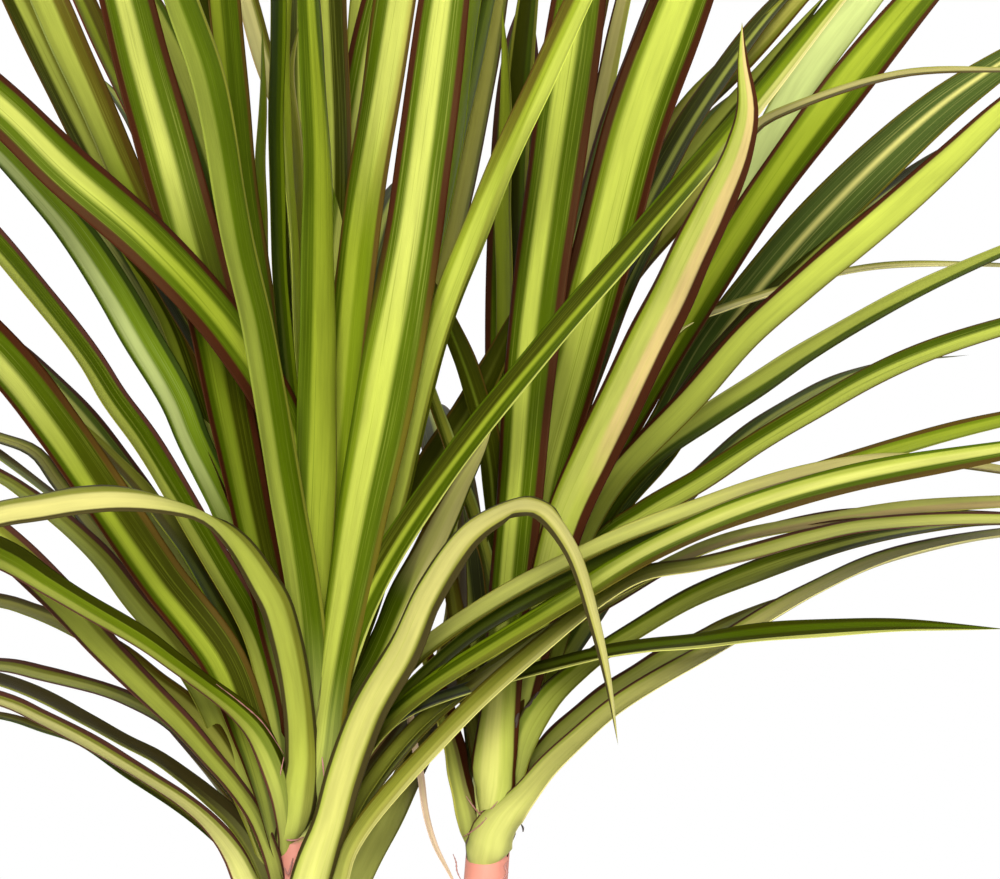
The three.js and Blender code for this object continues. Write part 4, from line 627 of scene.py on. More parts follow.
# Leaves that look different further out: from which share of the length to which they change, and to what
FAR_LOOKS = {
    "left": {
        "low 2": (0.44, 0.66, (0.08, 0.20, 0.62, 0.78, MOSS, OLIVE, WHEAT, OLIVE, RED)),
        "side 1": (0.60, 0.75, (0.05, 0.12, 0.52, 0.66, STRAW, BRIGHT, BRIGHT, OLIVE, BROWN)),
        "side 2": (0.60, 0.75, (0.05, 0.10, 0.50, 0.62, WHEAT, WHEAT, WHEAT, BROWN, RED)),
        "side 4": (0.38, 0.58, (0.10, 0.22, 0.56, 0.85, RED, GREEN, YELLOW, GREEN, RED)),
        "side 5": (0.60, 0.75, (0.10, 0.30, 0.56, 0.92, OLIVE, MOSS, BROWN, OLIVE, OLIVE)),
        # Further out, the pale MINT centre band of side 8 is a painted sheen
        "side 8": (0.24, 0.40, (0.06, 0.14, 0.48, 0.86, SLATE, FRESH, MINT, FRESH, SLATE)),
        "high 1": (0.45, 0.66, (0.15, 0.36, 0.62, 0.86, RED, GREEN, YELLOW, GREEN, RED)),
        "high 3": (0.50, 0.66, (0.05, 0.12, 0.58, 0.86, GREY, LIME, LIME, MOSS, BROWN)),
        "high 6": (0.42, 0.60, (0.13, 0.33, 0.60, 0.88, RED, GREEN, YELLOW, GREEN, RED)),
        "upright 5": (0.70, 0.85, (0.06, 0.30, 0.60, 0.84, WHEAT, STRAW, MOSS, LEAF, OLIVE)),
        "upright 6": (0.75, 0.90, (0.03, 0.06, 0.40, 0.90, ACID, ACID, ACID, MOSS, BROWN)),
        "upright 7": (0.66, 0.80, (0.08, 0.20, 0.80, 0.92, BROWN, MOSS, OLIVE, STRAW, WHEAT)),
        "upright 8": (0.55, 0.75, (0.06, 0.28, 0.57, 0.92, GREEN, GREEN, GRASS, GREEN, BROWN)),
        "upright 11": (0.48, 0.66, (0.10, 0.42, 0.85, 0.93, BROWN, GREEN, YELLOW, STRAW, BROWN)),
        "upright 12": (0.42, 0.60, (0.13, 0.31, 0.64, 0.88, RED, GREEN, YELLOW, GREEN, RED)),
        "lean 4": (0.48, 0.70, (0.05, 0.30, 0.50, 0.97, BROWN, MOSS, GRASS, ACID, ACID)),
        "lean 5": (0.70, 0.80, (0.08, 0.24, 0.52, 0.80, DARK, GREEN, LEAF, PALE, CREAM)),
        "lean 7": (0.55, 0.72, (0.10, 0.20, 0.50, 0.90, BROWN, WHEAT, BRIGHT, BUTTER, DARK)),
        "front 2": (0.45, 0.60, (0.09, 0.17, 0.60, 0.88, UMBER, BUTTER, BUTTER, OLIVE, UMBER)),
        "front 1": (0.55, 0.62, (0.12, 0.26, 0.78, 0.87, UMBER, STRAW, BUTTER, STRAW, UMBER)),
        "reach 1": (0.56, 0.70, (0.05, 0.12, 0.56, 0.88, STRAW, WHEAT, WHEAT, MAUVE, MOSS)),
        "reach 2": (0.40, 0.58, (0.10, 0.24, 0.50, 0.72, GREEN, LIME, PALE, GREEN, BROWN)),
        "reach 3": (0.36, 0.50, (0.10, 0.18, 0.60, 0.84, PLUM, PALE, CREAM, STRAW, PLUM)),
        "reach 4": (0.50, 0.66, (0.12, 0.24, 0.80, 0.90, PLUM, LIME, PALE, LIME, PLUM)),
        "reach 6": (0.55, 0.68, (0.16, 0.30, 0.86, 0.94, BROWN, LEAF, GRASS, LEAF, OLIVE)),
        "reach 7": (0.28, 0.36, (0.05, 0.36, 0.46, 0.92, STRAW, PALE, SALMON, SALMON, STRAW)),
        "back 1": (0.30, 0.42, (0.10, 0.30, 0.50, 0.80, WHEAT, MOSS, BROWN, BROWN, BROWN)),
        "dry strip": (0.50, 0.66, (0.10, 0.30, 0.60, 0.80, PEACH, PEACH, PEACH, PEACH, PEACH)),
    },
    "right": {
        "front 1": (0.36, 0.50, (0.11, 0.24, 0.58, 0.84, RED, GRASS, YELLOW, SALMON, RED)),
        "low 1": (0.36, 0.50, (0.10, 0.36, 0.56, 0.88, UMBER, DARK, LIME, DARK, MOSS)),
        "low 2": (0.60, 0.75, (0.07, 0.20, 0.88, 0.94, OLIVE, BRIGHT, BRIGHT, BRIGHT, WHEAT)),
        "low 3": (0.66, 0.85, (0.10, 0.28, 0.62, 0.88, MOSS, MOSS, OLIVE, OLIVE, BROWN)),
        "side 2": (0.50, 0.66, (0.09, 0.20, 0.58, 0.88, RED, LEAF, GRASS, GREEN, RED)),
        "high 5": (0.56, 0.70, (0.08, 0.14, 0.62, 0.94, RED, WHEAT, WHEAT, STRAW, LIME)),
        "high 6": (0.50, 0.70, (0.05, 0.20, 0.80, 0.95, OLIVE, GRASS, GRASS, OLIVE, OLIVE)),
        "upright 1": (0.12, 0.25, (0.12, 0.33, 0.60, 0.87, RED, GREEN, ACID, GREEN, RED)),
    },
}

UP = np.array([0.0, 0.0, 1.0])
TOWARD_VIEWER = np.array([0.0, -1.0, 0.0])


def seeded(seed):
    """A repeatable source of numbers from 0 to 1."""
    state = seed
    while True:
        state = (state * DRAW_FACTOR + DRAW_STEP) % DRAW_RANGE
        yield state / DRAW_RANGE


def unit(vectors):
    return vectors / np.linalg.norm(vectors, axis=-1, keepdims=True)


def clamp(value, low, high):
    return min(max(value, low), high)


def lerp(a, b, share):
    return a + (b - a) * share


def smoothstep(value, low, high):
    share = np.clip((value - low) / (high - low), 0, 1)
    return share * share * (3 - 2 * share)


def smoothed(values):
    return np.convolve(np.pad(values, 1, mode="edge"), [0.25, 0.5, 0.25], mode="valid")


def depth_at(column, row, toward):
    out = math.hypot(column - BETWEEN_CROWNS_COLUMN, row - BETWEEN_CROWNS_ROW)
    return toward * (1 + out / DEPTH_REACH)


def scale_at(depth):
    return MM_PER_PIXEL * (VIEW_DISTANCE - depth) / VIEW_DISTANCE


def place_in_view(column, row, depth):
    scale = scale_at(depth)
    x = VIEW_CENTRE_X + (column - PICTURE_CENTRE_COLUMN) * scale
    z = VIEW_CENTRE_Z + (PICTURE_CENTRE_ROW - row) * scale
    return np.array([x, -depth, z])


def shoot_foot(shoot):
    return shoot["line"][0][2]


def shoot_top(shoot):
    return shoot["line"][-1][2]


def shoot_radius(shoot, height):
    share = (height - shoot_foot(shoot)) / (shoot_top(shoot) - shoot_foot(shoot))
    return lerp(CANE_RADIUS, SHOOT_TIP_RADIUS, clamp(share, 0, 1) ** 2)


def shoot_point(shoot, height):
    line = np.array(shoot["line"], float)
    return np.array([np.interp(height, line[:, 2], line[:, axis]) for axis in range(3)])


def width_share(along):
    lower = lerp(BASE_WIDTH_SHARE, 1, smoothstep(along, 0, WIDEST_AT))
    past = np.clip((along - WIDEST_AT) / (1 - WIDEST_AT), 0, 1)
    return np.where(along < WIDEST_AT, lower, 1 - past ** TAPER_POWER)


def spline(points, t, centripetal=True):
    """Points of a Catmull-Rom curve through the given ones, at shares t of its number of spans."""
    points = np.asarray(points, float)
    ends = [2 * points[0] - points[1], 2 * points[-1] - points[-2]]
    padded = np.vstack([ends[0], points, ends[1]])
    spans = len(points) - 1
    at = np.clip(np.asarray(t, float), 0, 1) * spans
    k = np.minimum(at.astype(int), spans - 1)
    share = (at - k)[:, None]
    p0, p1, p2, p3 = (padded[k + step] for step in range(4))
    if centripetal:
        d0, d1, d2 = (np.sqrt(np.linalg.norm(b - a, axis=1, keepdims=True))
                      for a, b in ((p0, p1), (p1, p2), (p2, p3)))
        start = (p1 - p0) / d0 - (p2 - p0) / (d0 + d1) + (p2 - p1) / d1
        end = (p2 - p1) / d1 - (p3 - p1) / (d1 + d2) + (p3 - p2) / d2
        start, end = start * d1, end * d1
    else:
        start, end = (p2 - p0) / 2, (p3 - p1) / 2
    c2 = -3 * p1 + 3 * p2 - 2 * start - end
    c3 = 2 * p1 - 2 * p2 + start + end
    return p1 + start * share + c2 * share ** 2 + c3 * share ** 3


def even_shares(points, along):
    """The shares of the curve's spans that are evenly spaced along its length, and the length."""
    dense = np.linspace(0, 1, LENGTH_SAMPLES)
    steps = np.linalg.norm(np.diff(spline(points, dense), axis=0), axis=1)
    length = np.concatenate([[0], np.cumsum(steps)])
    return np.interp(along * length[-1], length, dense), length[-1]


def extend_past(points, seen, missing):
    """Carry a leaf on past the picture's edge, drooping more the flatter it lies."""
    heading = unit(points[-1] - points[-2])
    step = missing / UNSEEN_STEPS
    for _ in range(UNSEEN_STEPS):
        level = math.hypot(heading[0], heading[1])
        droop = step * DROOP_PER_MM * lerp(UPRIGHT_DROOP, 1, level)
        heading = unit(heading - droop * UP)
        points.append(points[-1] + heading * step)
        seen.append(seen[-1])


def spine_controls(shoot, long, route):
    """The points of a leaf's middle from its root in the shoot, and how broad it looks at each in mm."""
    depths = [depth_at(column, row, toward) for column, row, toward, _ in route]
    points = [place_in_view(leg[0], leg[1], depth) for leg, depth in zip(route, depths)]
    seen = [leg[3] * scale_at(depth) for leg, depth in zip(route, depths)]
    lowest = shoot_foot(shoot) + LOWEST_ROOT
    highest = shoot_top(shoot) - HIGHEST_ROOT
    height = clamp(points[0][2] - ROOT_DROP, lowest, highest)
    root = shoot_point(shoot, height)
    sideways = unit((points[0] - root) * [1, 1, 0])
    points.insert(0, root + sideways * shoot_radius(shoot, height) * ROOT_OFFSET)
    seen.insert(0, seen[0])
    if long > 0:
        shown = even_shares(points, np.array([0]))[1]
        extend_past(points, seen, max(long - shown, LEAST_UNSEEN))
    return points, seen


def stations_of(points, seen, along):
    """Places, headings and looked-at widths at even shares along a leaf."""
    t, length = even_shares(points, along)
    low, high = np.clip(t - HEADING_STEP, 0, 1), np.clip(t + HEADING_STEP, 0, 1)
    breadth = np.array([[wide, k, 0] for k, wide in enumerate(seen)], float)
    return {
        "along": along,
        "place": spline(points, t),
        "way": unit(spline(points, high) - spline(points, low)),
        "looks": spline(breadth, t, centripetal=False)[:, 0],
        "length": length,
    }


def turn_angles(stations, wide):
    """How far a blade turns away from the viewer at its stations."""
    goes_right = stations["place"][-1][0] > stations["place"][0][0]
    full = wide * np.maximum(width_share(stations["along"]), LEAST_WIDTH_SHARE)
    turns = np.arccos(np.clip(stations["looks"] / full, LEAST_LOOK, 1))
    kept = turns[int(len(turns) * TURN_KEPT_FROM)]
    turns = np.where(stations["along"] > TURN_KEPT_PAST, kept, turns)
    return (-1 if goes_right else 1) * smoothed(turns)


def turned_about(vectors, axes, angles):
    cos, sin = np.cos(angles)[:, None], np.sin(angles)[:, None]
    along = np.sum(axes * vectors, axis=1, keepdims=True) * axes
    return vectors * cos + np.cross(axes, vectors) * sin + along * (1 - cos)


def beside(shoot, blade):
    """The middle of the shoot at the height of each station."""
    return [shoot_point(shoot, place[2]) for place in blade["place"]]


def viewed_blade(shoot, row):
    """The fine stations of a leaf in view, which follow the part's own blade."""
    _, wide, long, route = row
    segments = clamp(len(route), MIN_SEGMENTS, MAX_SEGMENTS)
    points, seen = spine_controls(shoot, long, route)
    coarse = stations_of(points, seen, np.linspace(0, 1, segments + 1))
    turns = turn_angles(coarse, wide)
    blade = stations_of(points, seen, np.linspace(0, 1, FINE_STEPS + 1))
    part_turns = np.column_stack([turns, coarse["along"], 0 * turns])
    even = spline(part_turns, blade["along"], centripetal=False)[:, 0]
    exact = turn_angles(blade, wide)
    fine = smoothed(lerp(exact, even, smoothstep(blade["along"], *TURN_EVENS_OUT)))
    across = unit(np.cross(blade["way"], TOWARD_VIEWER))
    inward = shoot_point(shoot, blade["place"][FOLD_STATION][2]) - blade["place"][FOLD_STATION]
    inward[2] = INNER_SIDE_RISE
    sheath = np.minimum(blade["looks"], wide * SHEATH_GROWTH)
    sheath = sheath * (1 - smoothstep(blade["along"], *SHEATH_ENDS))
    root_mm = np.linalg.norm(points[1] - points[0])
    tuck = smoothstep(blade["along"] * blade["length"], 0, root_mm)
    width = np.maximum(wide * width_share(blade["along"]), sheath) * lerp(ROOT_SHARE, 1, tuck)
    blade["across"] = turned_about(across, blade["way"], fine)
    blade["inward"] = inward
    blade["wide"] = wide
    blade["width"] = width
    blade["facing"] = np.clip(blade["looks"] / width, 0, 1) ** 2
    blade["core"] = beside(shoot, blade)
    return blade


def back_blade(shoot, index, random):
    """The fine stations of a leaf behind the crown, which arches over at its own bearing."""
    turn = (index * GOLDEN_SHARE) % 1 - 0.5
    wander = (next(random) - 0.5) * BACK_WANDER
    bearing = math.radians(shoot["back_bearing"] + turn * BACK_SPREAD + wander)
    age = index / (BACK_LEAVES - 1)
    rise = math.radians(lerp(YOUNG_RISE, OLD_RISE, age))
    fall = math.radians(lerp(YOUNG_FALL, OLD_FALL, age))
    long = BACK_LEAF_LENGTH * lerp(*BACK_LENGTH_SHARES, next(random))
    wide = BACK_LEAF_WIDTH * lerp(*BACK_WIDTH_SHARES, next(random))
    youngest = shoot_top(shoot) - YOUNGEST_BELOW_TOP
    oldest = shoot_foot(shoot) + OLDEST_ABOVE_FOOT
    place = shoot_point(shoot, lerp(youngest, oldest, age))
    outward = np.array([math.cos(bearing), math.sin(bearing), 0])
    across = np.array([-math.sin(bearing), math.cos(bearing), 0])
    controls = []
    for k in range(BACK_SEGMENTS + 1):
        angle = lerp(rise, fall, (k / BACK_SEGMENTS) ** ARCH_POWER)
        controls.append(place.copy())
        place = place + (outward * math.sin(angle) + UP * math.cos(angle)) * long / BACK_SEGMENTS
    blade = stations_of(controls, [wide] * len(controls), np.linspace(0, 1, FINE_STEPS + 1))
    blade["across"] = np.tile(across, (FINE_STEPS + 1, 1))
    blade["inward"] = -outward + BACK_INNER_RISE * UP
    blade["wide"] = wide
    blade["width"] = wide * width_share(blade["along"])
    blade["facing"] = 1
    blade["core"] = beside(shoot, blade)
    return blade


def linear(colour):
    """An 8-bit colour as the linear light that shaders take, by the sRGB curve."""
    share = np.array(colour, float) / 255
    return np.where(share <= 0.04045, share / 12.92, ((share + 0.055) / 1.055) ** 2.4)


def opaque(light):
    """Linear light as the four values that a colour socket takes."""
    return (*light, 1)


def leaf_colour(colour):
    """What a leaf's own colour has to be to look like this one in the studio light."""
    return linear(colour) / LIGHT_GAIN


def made(name, places, faces, material):
    """A smooth object with one material, from places in metres."""
    mesh = bpy.data.meshes.new(name)
    mesh.from_pydata(places, [], faces)
    mesh.polygons.foreach_set("use_smooth", np.ones(len(mesh.polygons), bool))
    mesh.materials.append(material)
    item = bpy.data.objects.new(name, mesh)
    bpy.context.scene.collection.objects.link(item)
    return item


def ring(centre, radius, height, sides):
    """Places round a level circle, in metres, from sizes in mm."""
    angles = [2 * math.pi * s / sides for s in range(sides)]
    return [((centre[0] + radius * math.cos(angle)) * MM, (centre[1] + radius * math.sin(angle)) * MM,
             height * MM) for angle in angles]


def ring_faces(rings, sides, first=0):
    """Quads that join each ring of places to the next one."""
    faces = []
    for start in range(first, first + (rings - 1) * sides, sides):
        for s in range(sides):
            t = (s + 1) % sides
            faces.append((start + s, start + t, start + sides + t, start + sides + s))
    return faces


def end_faces(rings, sides, first=0):
    """Flat faces that close the first and the last ring."""
    last = first + (rings - 1) * sides
    return [tuple(range(first, first + sides))[::-1], tuple(range(last, last + sides))]


def lathe(name, profile, sides, material, centre=(0, 0)):
    """A turned solid. The profile runs from the axis round to the axis, in mm."""
    inner = profile[1:-1]
    places = [place for radius, z in inner for place in ring(centre, radius, z, sides)]
    faces = ring_faces(len(inner), sides)
    for (_, z), start, turn in ((profile[0], 0, -1), (profile[-1], (len(inner) - 1) * sides, 1)):
        tip = len(places)
        places.append((centre[0] * MM, centre[1] * MM, z * MM))
        for s in range(sides):
            a, b = start + s, start + (s + 1) % sides
            faces.append((a, b, tip) if turn > 0 else (b, a, tip))
    return made(name, places, faces, material)


def leaf_loops(blade, seed):
    """Places round the curled section of a leaf at each station: its upper face, then its lower one."""
    side = unit(np.cross(blade["across"], blade["way"]))
    along_mm = blade["along"] * blade["length"]
    foot = int(np.searchsorted(along_mm, FOOT_READ_AT))
    opened = BLADE_CURL * (1 if np.dot(side[FOLD_STATION], blade["inward"]) > 0 else -1)
    toward_core = blade["core"][foot] - blade["place"][foot]
    shut_curl = SHEATH_CURL * (1 if np.dot(side[foot], toward_core) > 0 else -1)
    shut = (1 - smoothstep(along_mm, *SHEATH_OPENS)) * blade["facing"]
    curl = lerp(opened, shut_curl, shut)[:, None]
    curl = np.where(np.abs(curl) < LEAST_CURL, LEAST_CURL, curl)
    from_middle = 2 * np.array(ACROSS) - 1
    near_edge = np.abs(from_middle) ** EDGE_POWER
    narrow = np.clip(blade["width"] / blade["wide"], LEAST_NARROWING, 1)[:, None]
    reach = blade["width"][:, None] / 2 / np.sin(curl)
    angle = curl * from_middle
    ripple = np.sin(blade["along"] * WAVES + seed * WAVE_SHIFT)[:, None] * near_edge
    rise = reach * (1 - np.cos(angle)) + ripple * WAVE_HEIGHT * narrow
    thick = lerp(LEAF_THICKNESS, EDGE_THICKNESS, near_edge) / 2 * narrow
    middle = blade["place"][:, None, :] + (reach * np.sin(angle))[:, :, None] * blade["across"][:, None, :]
    upper = middle + (rise + thick)[:, :, None] * side[:, None, :]
    lower = middle + (rise - thick)[:, :, None] * side[:, None, :]
    return np.concatenate([upper, lower[:, ::-1]], axis=1)


class Strips:
    """Leaves gathered into one mesh, with what the leaf material reads at each vertex."""

    def __init__(self):
        self.places = []
        self.faces = []
        self.uvs = []
        self.vectors = {"leaf_at": [], "leaf_edges": [], "leaf_last": []}
        self.colours = {key: [] for key in BANDS}
        self.leaves = 0

    def add(self, blade, look, seed, far):
        loops = leaf_loops(blade, seed)
        self.places.append(loops.reshape(-1, 3) * MM)
        row = np.arange(FINE_STEPS)[:, None] * LOOP
        this = np.arange(LOOP)[None, :]
        after = (this + 1) % LOOP
        corners = [row + this, row + LOOP + this, row + LOOP + after, row + after]
        first = self.leaves * (FINE_STEPS + 1) * LOOP
        self.faces.append(np.stack(corners, axis=-1).reshape(-1, 4) + first)
        self._lay_out(this, after)
        self._paint(blade, look, seed, far)
        self.leaves += 1

    def _lay_out(self, this, after):
        """Each leaf takes four rows of the map: two halves of its length, for its two faces."""
        half = FINE_STEPS // 2
        step = np.arange(FINE_STEPS)[:, None]
        part = step // half
        near, further = (step - part * half) / half, (step + 1 - part * half) / half
        line = (self.leaves * MAP_ROWS_A_LEAF + part * 2 + this // len(ACROSS))[:, :, None]
        u = np.stack([near, further, further, near], axis=-1)
        v = LOOP_SHARES[np.stack([this, this, after, after], axis=-1)]
        u = lerp(MAP_END_GAP, 1 - MAP_END_GAP, u)
        v = (line + lerp(MAP_SIDE_GAP, 1 - MAP_SIDE_GAP, v)) / (LEAVES_A_PIECE * MAP_ROWS_A_LEAF)
        self.uvs.append(np.stack(np.broadcast_arrays(u, v), axis=-1).reshape(-1, 2))

    def _paint(self, blade, look, seed, far):
        """Say at each place where it lies, where the bands end there and what colours they have."""
        along = np.repeat(blade["along"] * blade["length"], LOOP)
        across = np.tile(LOOP_SHARES, FINE_STEPS + 1)
        grown = lerp(FOOT_MARGIN_SHARE, 1, smoothstep(along, *MARGIN_GROWS))
        begins, ends, far_look = far or (0, 1, look)
        change = smoothstep(np.repeat(blade["along"], LOOP), begins, ends)
        b1, b2, b3, b4 = (lerp(near, further, change) for near, further in zip(look[:4], far_look[:4]))
        b1, b4 = b1 * grown, 1 - (1 - b4) * grown
        same = np.ones(len(along))
        self.vectors["leaf_at"].append(np.column_stack([across, along, same * seed]))
        self.vectors["leaf_edges"].append(np.column_stack([b1, b2, b3]))
        self.vectors["leaf_last"].append(np.column_stack([b4, same * blade["wide"], same]))
        ripe = smoothstep(along, *CENTRE_RIPENS)[:, None]
        for key, near, further in zip(BANDS, look[4:], far_look[4:]):
            tint = lerp(leaf_colour(near), leaf_colour(further), change[:, None])
            if key == "centre":
                tint = lerp(lerp(tint, leaf_colour(YOUNG_CENTRE), YOUNG_SHARE), tint, ripe)
            self.colours[key].append(np.column_stack([tint, same]))

    def build(self, name, material):
        places = np.concatenate(self.places).tolist()
        item = made(name, places, np.concatenate(self.faces).tolist(), material)
        for key, rows in self.vectors.items():
            layer = item.data.attributes.new(key, "FLOAT_VECTOR", "POINT")
            layer.data.foreach_set("vector", np.concatenate(rows).astype(np.float32).ravel())
        for key, rows in self.colours.items():
            layer = item.data.attributes.new(key, "FLOAT_COLOR", "POINT")
            layer.data.foreach_set("color", np.concatenate(rows).astype(np.float32).ravel())
        uv = item.data.uv_layers.new(name="OFBake")
        uv.data.foreach_set("uv", np.concatenate(self.uvs).astype(np.float32).ravel())
        return item


class Nodes:
    """Short ways to add and join shader nodes."""

    def __init__(self, name):
        self.material = bpy.data.materials.new(name)
        self.material.use_nodes = True
        self.tree = self.material.node_tree
        self.shader = self.tree.nodes["Principled BSDF"]

    def new(self, kind, **settings):
        node = self.tree.nodes.new(kind)
        for key, value in settings.items():
            setattr(node, key, value)
        return node

    def put(self, socket, value):
        if isinstance(value, bpy.types.NodeSocket):
            self.tree.links.new(value, socket)
        else:
            socket.default_value = value

    def math(self, operation, a, b=0.0):
        node = self.new("ShaderNodeMath", operation=operation)
        self.put(node.inputs[0], a)
        self.put(node.inputs[1], b)
        return node.outputs[0]

    def times(self, product, *others):
        for other in others:
            product = self.math("MULTIPLY", product, other)
        return product

    def rest_of(self, share):
        return self.math("SUBTRACT", 1.0, share)

    def mix(self, share, a, b):
        node = self.new("ShaderNodeMix", data_type="RGBA")
        self.put(node.inputs[0], share)
        self.put(node.inputs[6], a)
        self.put(node.inputs[7], b)
        return node.outputs[2]

    def step(self, value, at, soft):
        """0 below at and 1 above it, over a soft border."""
        node = self.new("ShaderNodeMapRange", interpolation_type="SMOOTHSTEP")
        self.put(node.inputs[0], value)
        self.put(node.inputs[1], self.math("SUBTRACT", at, soft))
        self.put(node.inputs[2], self.math("ADD", at, soft))
        return node.outputs[0]

    def position(self):
        return self.new("ShaderNodeNewGeometry").outputs["Position"]

    def vector(self, name):
        return self.split(self.new("ShaderNodeAttribute", attribute_name=name).outputs["Vector"])

    def colour(self, name):
        return self.new("ShaderNodeAttribute", attribute_name=name).outputs["Color"]

    def noise(self, at, scale=1.0, detail=2.0, roughness=0.5):
        node = self.new("ShaderNodeTexNoise")
        self.put(node.inputs["Vector"], at)
        node.inputs["Scale"].default_value = scale
        node.inputs["Detail"].default_value = detail
        node.inputs["Roughness"].default_value = roughness
        return node.outputs["Fac"]

    def combine(self, x, y, z):
        node = self.new("ShaderNodeCombineXYZ")
        for socket, value in zip(node.inputs, (x, y, z)):
            self.put(socket, value)
        return node.outputs[0]

    def split(self, vector):
        node = self.new("ShaderNodeSeparateXYZ")
        self.put(node.inputs[0], vector)
        return node.outputs

    def scaled(self, colour, by):
        node = self.new("ShaderNodeVectorMath", operation="SCALE")
        self.put(node.inputs[0], colour)
        self.put(node.inputs["Scale"], by)
        return node.outputs[0]

    def bump(self, height, strength, distance):
        node = self.new("ShaderNodeBump")
        node.inputs["Strength"].default_value = strength
        node.inputs["Distance"].default_value = distance
        self.put(node.inputs["Height"], height)
        return node.outputs[0]

    def surface(self, colour, roughness, normal=None, specular=0.5):
        """Hand the shader what it takes, and give back the finished material."""
        self.put(self.shader.inputs["Base Color"], colour)
        if normal is not None:
            self.put(self.shader.inputs["Normal"], normal)
        self.shader.inputs["Roughness"].default_value = roughness
        self.shader.inputs["Specular IOR Level"].default_value = specular
        return self.material


def leaf_material():
    n = Nodes("striped_leaf")
    across, along, seed = n.vector("leaf_at")
    b1, b2, b3 = n.vector("leaf_edges")
    b4, wide, _ = n.vector("leaf_last")
    margin_left, green_left, centre, green_right, margin_right = (n.colour(key) for key in BANDS)
    across_mm = n.times(across, wide)
    # Five bands, whose borders wander slowly along the leaf
    drift_at = n.combine(n.times(along, DRIFT_ALONG), n.times(seed, DRIFT_APART), across)
    drift = n.times(n.math("SUBTRACT", n.noise(drift_at), 0.5), DRIFT_WIDTH)
    waved = n.math("ADD", across, drift)
    past_left = n.step(waved, b1, MARGIN_BLUR)
    past_right = n.step(waved, b4, MARGIN_BLUR)
    colour = n.mix(past_left, margin_left, green_left)
    colour = n.mix(n.step(waved, b2, BAND_BLUR), colour, centre)
    colour = n.mix(n.step(waved, b3, BAND_BLUR), colour, green_right)
    colour = n.mix(past_right, colour, margin_right)
    between_margins = n.times(past_left, n.rest_of(past_right))
    # Thin green streaks in the pale centre, and faint pale ones in the green
    streak_at = n.combine(across_mm, n.times(along, STREAK_ALONG), n.times(seed, STREAK_APART))
    in_centre = n.times(n.step(waved, b2, STREAK_BLUR), n.rest_of(n.step(waved, b3, STREAK_BLUR)))
    green = n.step(n.noise(streak_at, scale=1.3, roughness=0.55), at=0.62, soft=0.06)
    colour = n.mix(n.times(green, in_centre, GREEN_STREAKS), colour, green_left)
    in_green = n.times(n.rest_of(in_centre), between_margins)
    pale = n.step(n.noise(streak_at, scale=2.1), at=0.6, soft=0.08)
    colour = n.mix(n.times(pale, in_green, PALE_STREAKS), colour, centre)
    # The sheath at the foot is paler between its margins
    foot = n.rest_of(n.step(along, PALE_FOOT_ENDS, PALE_FOOT_BLUR))
    colour = n.mix(n.times(foot, between_margins, PALE_FOOT_SHARE), colour, opaque(leaf_colour(SHEATH)))
    # Painted shade: darker towards the margins, as if light fell off round the curled section. Also slow
    # changes of brightness along and across
    aside = n.math("ABSOLUTE", n.math("SUBTRACT", n.times(across, 2.0), 1.0))
    edge = n.step(aside, at=0.72, soft=0.28)
    patch_at = n.combine(n.times(across_mm, PATCH_ACROSS), n.times(along, PATCH_ALONG), seed)
    tone_and_painted_shade = n.math("ADD", DULLEST, n.times(n.noise(patch_at, detail=3.0), PATCH_STRENGTH))
    tone_and_painted_shade = n.math("SUBTRACT", tone_and_painted_shade, n.times(edge, between_margins, EDGE_PAINTED_SHADE))
    veins = n.noise(n.combine(across_mm, n.times(along, VEIN_ALONG), seed), scale=4.0)
    n.shader.inputs["Specular Tint"].default_value = SHEEN_TINT
    normal = n.bump(veins, strength=0.3, distance=0.0003)
    return n.surface(n.scaled(colour, tone_and_painted_shade), roughness=0.45, normal=normal, specular=0.05)


def shoot_material():
    """Salmon like the cane at the foot of the shoot, pale green above."""
    n = Nodes("shoot_skin")
    height = n.split(n.position())[2]
    green = n.step(height, SHOOT_GREEN_FROM * MM, SHOOT_GREEN_BLUR * MM)
    colour = n.mix(green, opaque(leaf_colour(CANE_PINK)), opaque(leaf_colour(SHEATH)))
    return n.surface(colour, roughness=0.5, specular=0.2)


def cane_material():
    """Tan bark below and salmon above, both mottled."""
    n = Nodes("cane_bark")
    x, y, z = n.split(n.position())
    young = n.step(z, YOUNG_BARK_FROM * MM, YOUNG_BARK_BLUR * MM)
    mottled_at = n.combine(*(n.times(axis, fine) for axis, fine in zip((x, y, z), MOTTLES_A_METRE)))
    mottle = n.noise(mottled_at, detail=4.0, roughness=0.6)
    old = n.mix(mottle, opaque(leaf_colour(CANE_TAN)), opaque(leaf_colour(CANE_BROWN)))
    fresh = n.mix(mottle, opaque(leaf_colour(CANE_PINK)), opaque(leaf_colour(CANE_ROSE)))
    normal = n.bump(mottle, strength=0.5, distance=0.0008)
    return n.surface(n.mix(young, old, fresh), roughness=0.6, normal=normal)


def pot_material():
    """Moulded terracotta brown, duller and dusty in patches."""
    n = Nodes("pot_plastic")
    place = n.position()
    patch = n.noise(place, scale=30.0, detail=4.0, roughness=0.6)
    colour = n.mix(patch, opaque(linear(POT_BROWN)), opaque(linear(POT_DUSTY)))
    normal = n.bump(n.noise(place, scale=900.0), strength=0.25, distance=0.0003)
    return n.surface(colour, roughness=0.55, normal=normal)


def soil_material():
    """Dark crumbs with brown grains and shreds of bark."""
    n = Nodes("potting_mix")
    place = n.position()
    grain = n.noise(place, scale=260.0, detail=5.0, roughness=0.7)
    shred = n.step(n.noise(place, scale=60.0, detail=3.0, roughness=0.6), at=0.6, soft=0.05)
    colour = n.mix(n.step(grain, at=0.5, soft=0.16), opaque(linear(SOIL_DARK)), opaque(linear(SOIL_BROWN)))
    colour = n.mix(n.times(shred, SHRED_STRENGTH), colour, opaque(linear(SOIL_BARK)))
    normal = n.bump(grain, strength=0.8, distance=0.002)
    return n.surface(colour, roughness=0.95, normal=normal, specular=0.2)


def plain_material(name, light, roughness):
    return Nodes(name).surface(opaque(light), roughness)


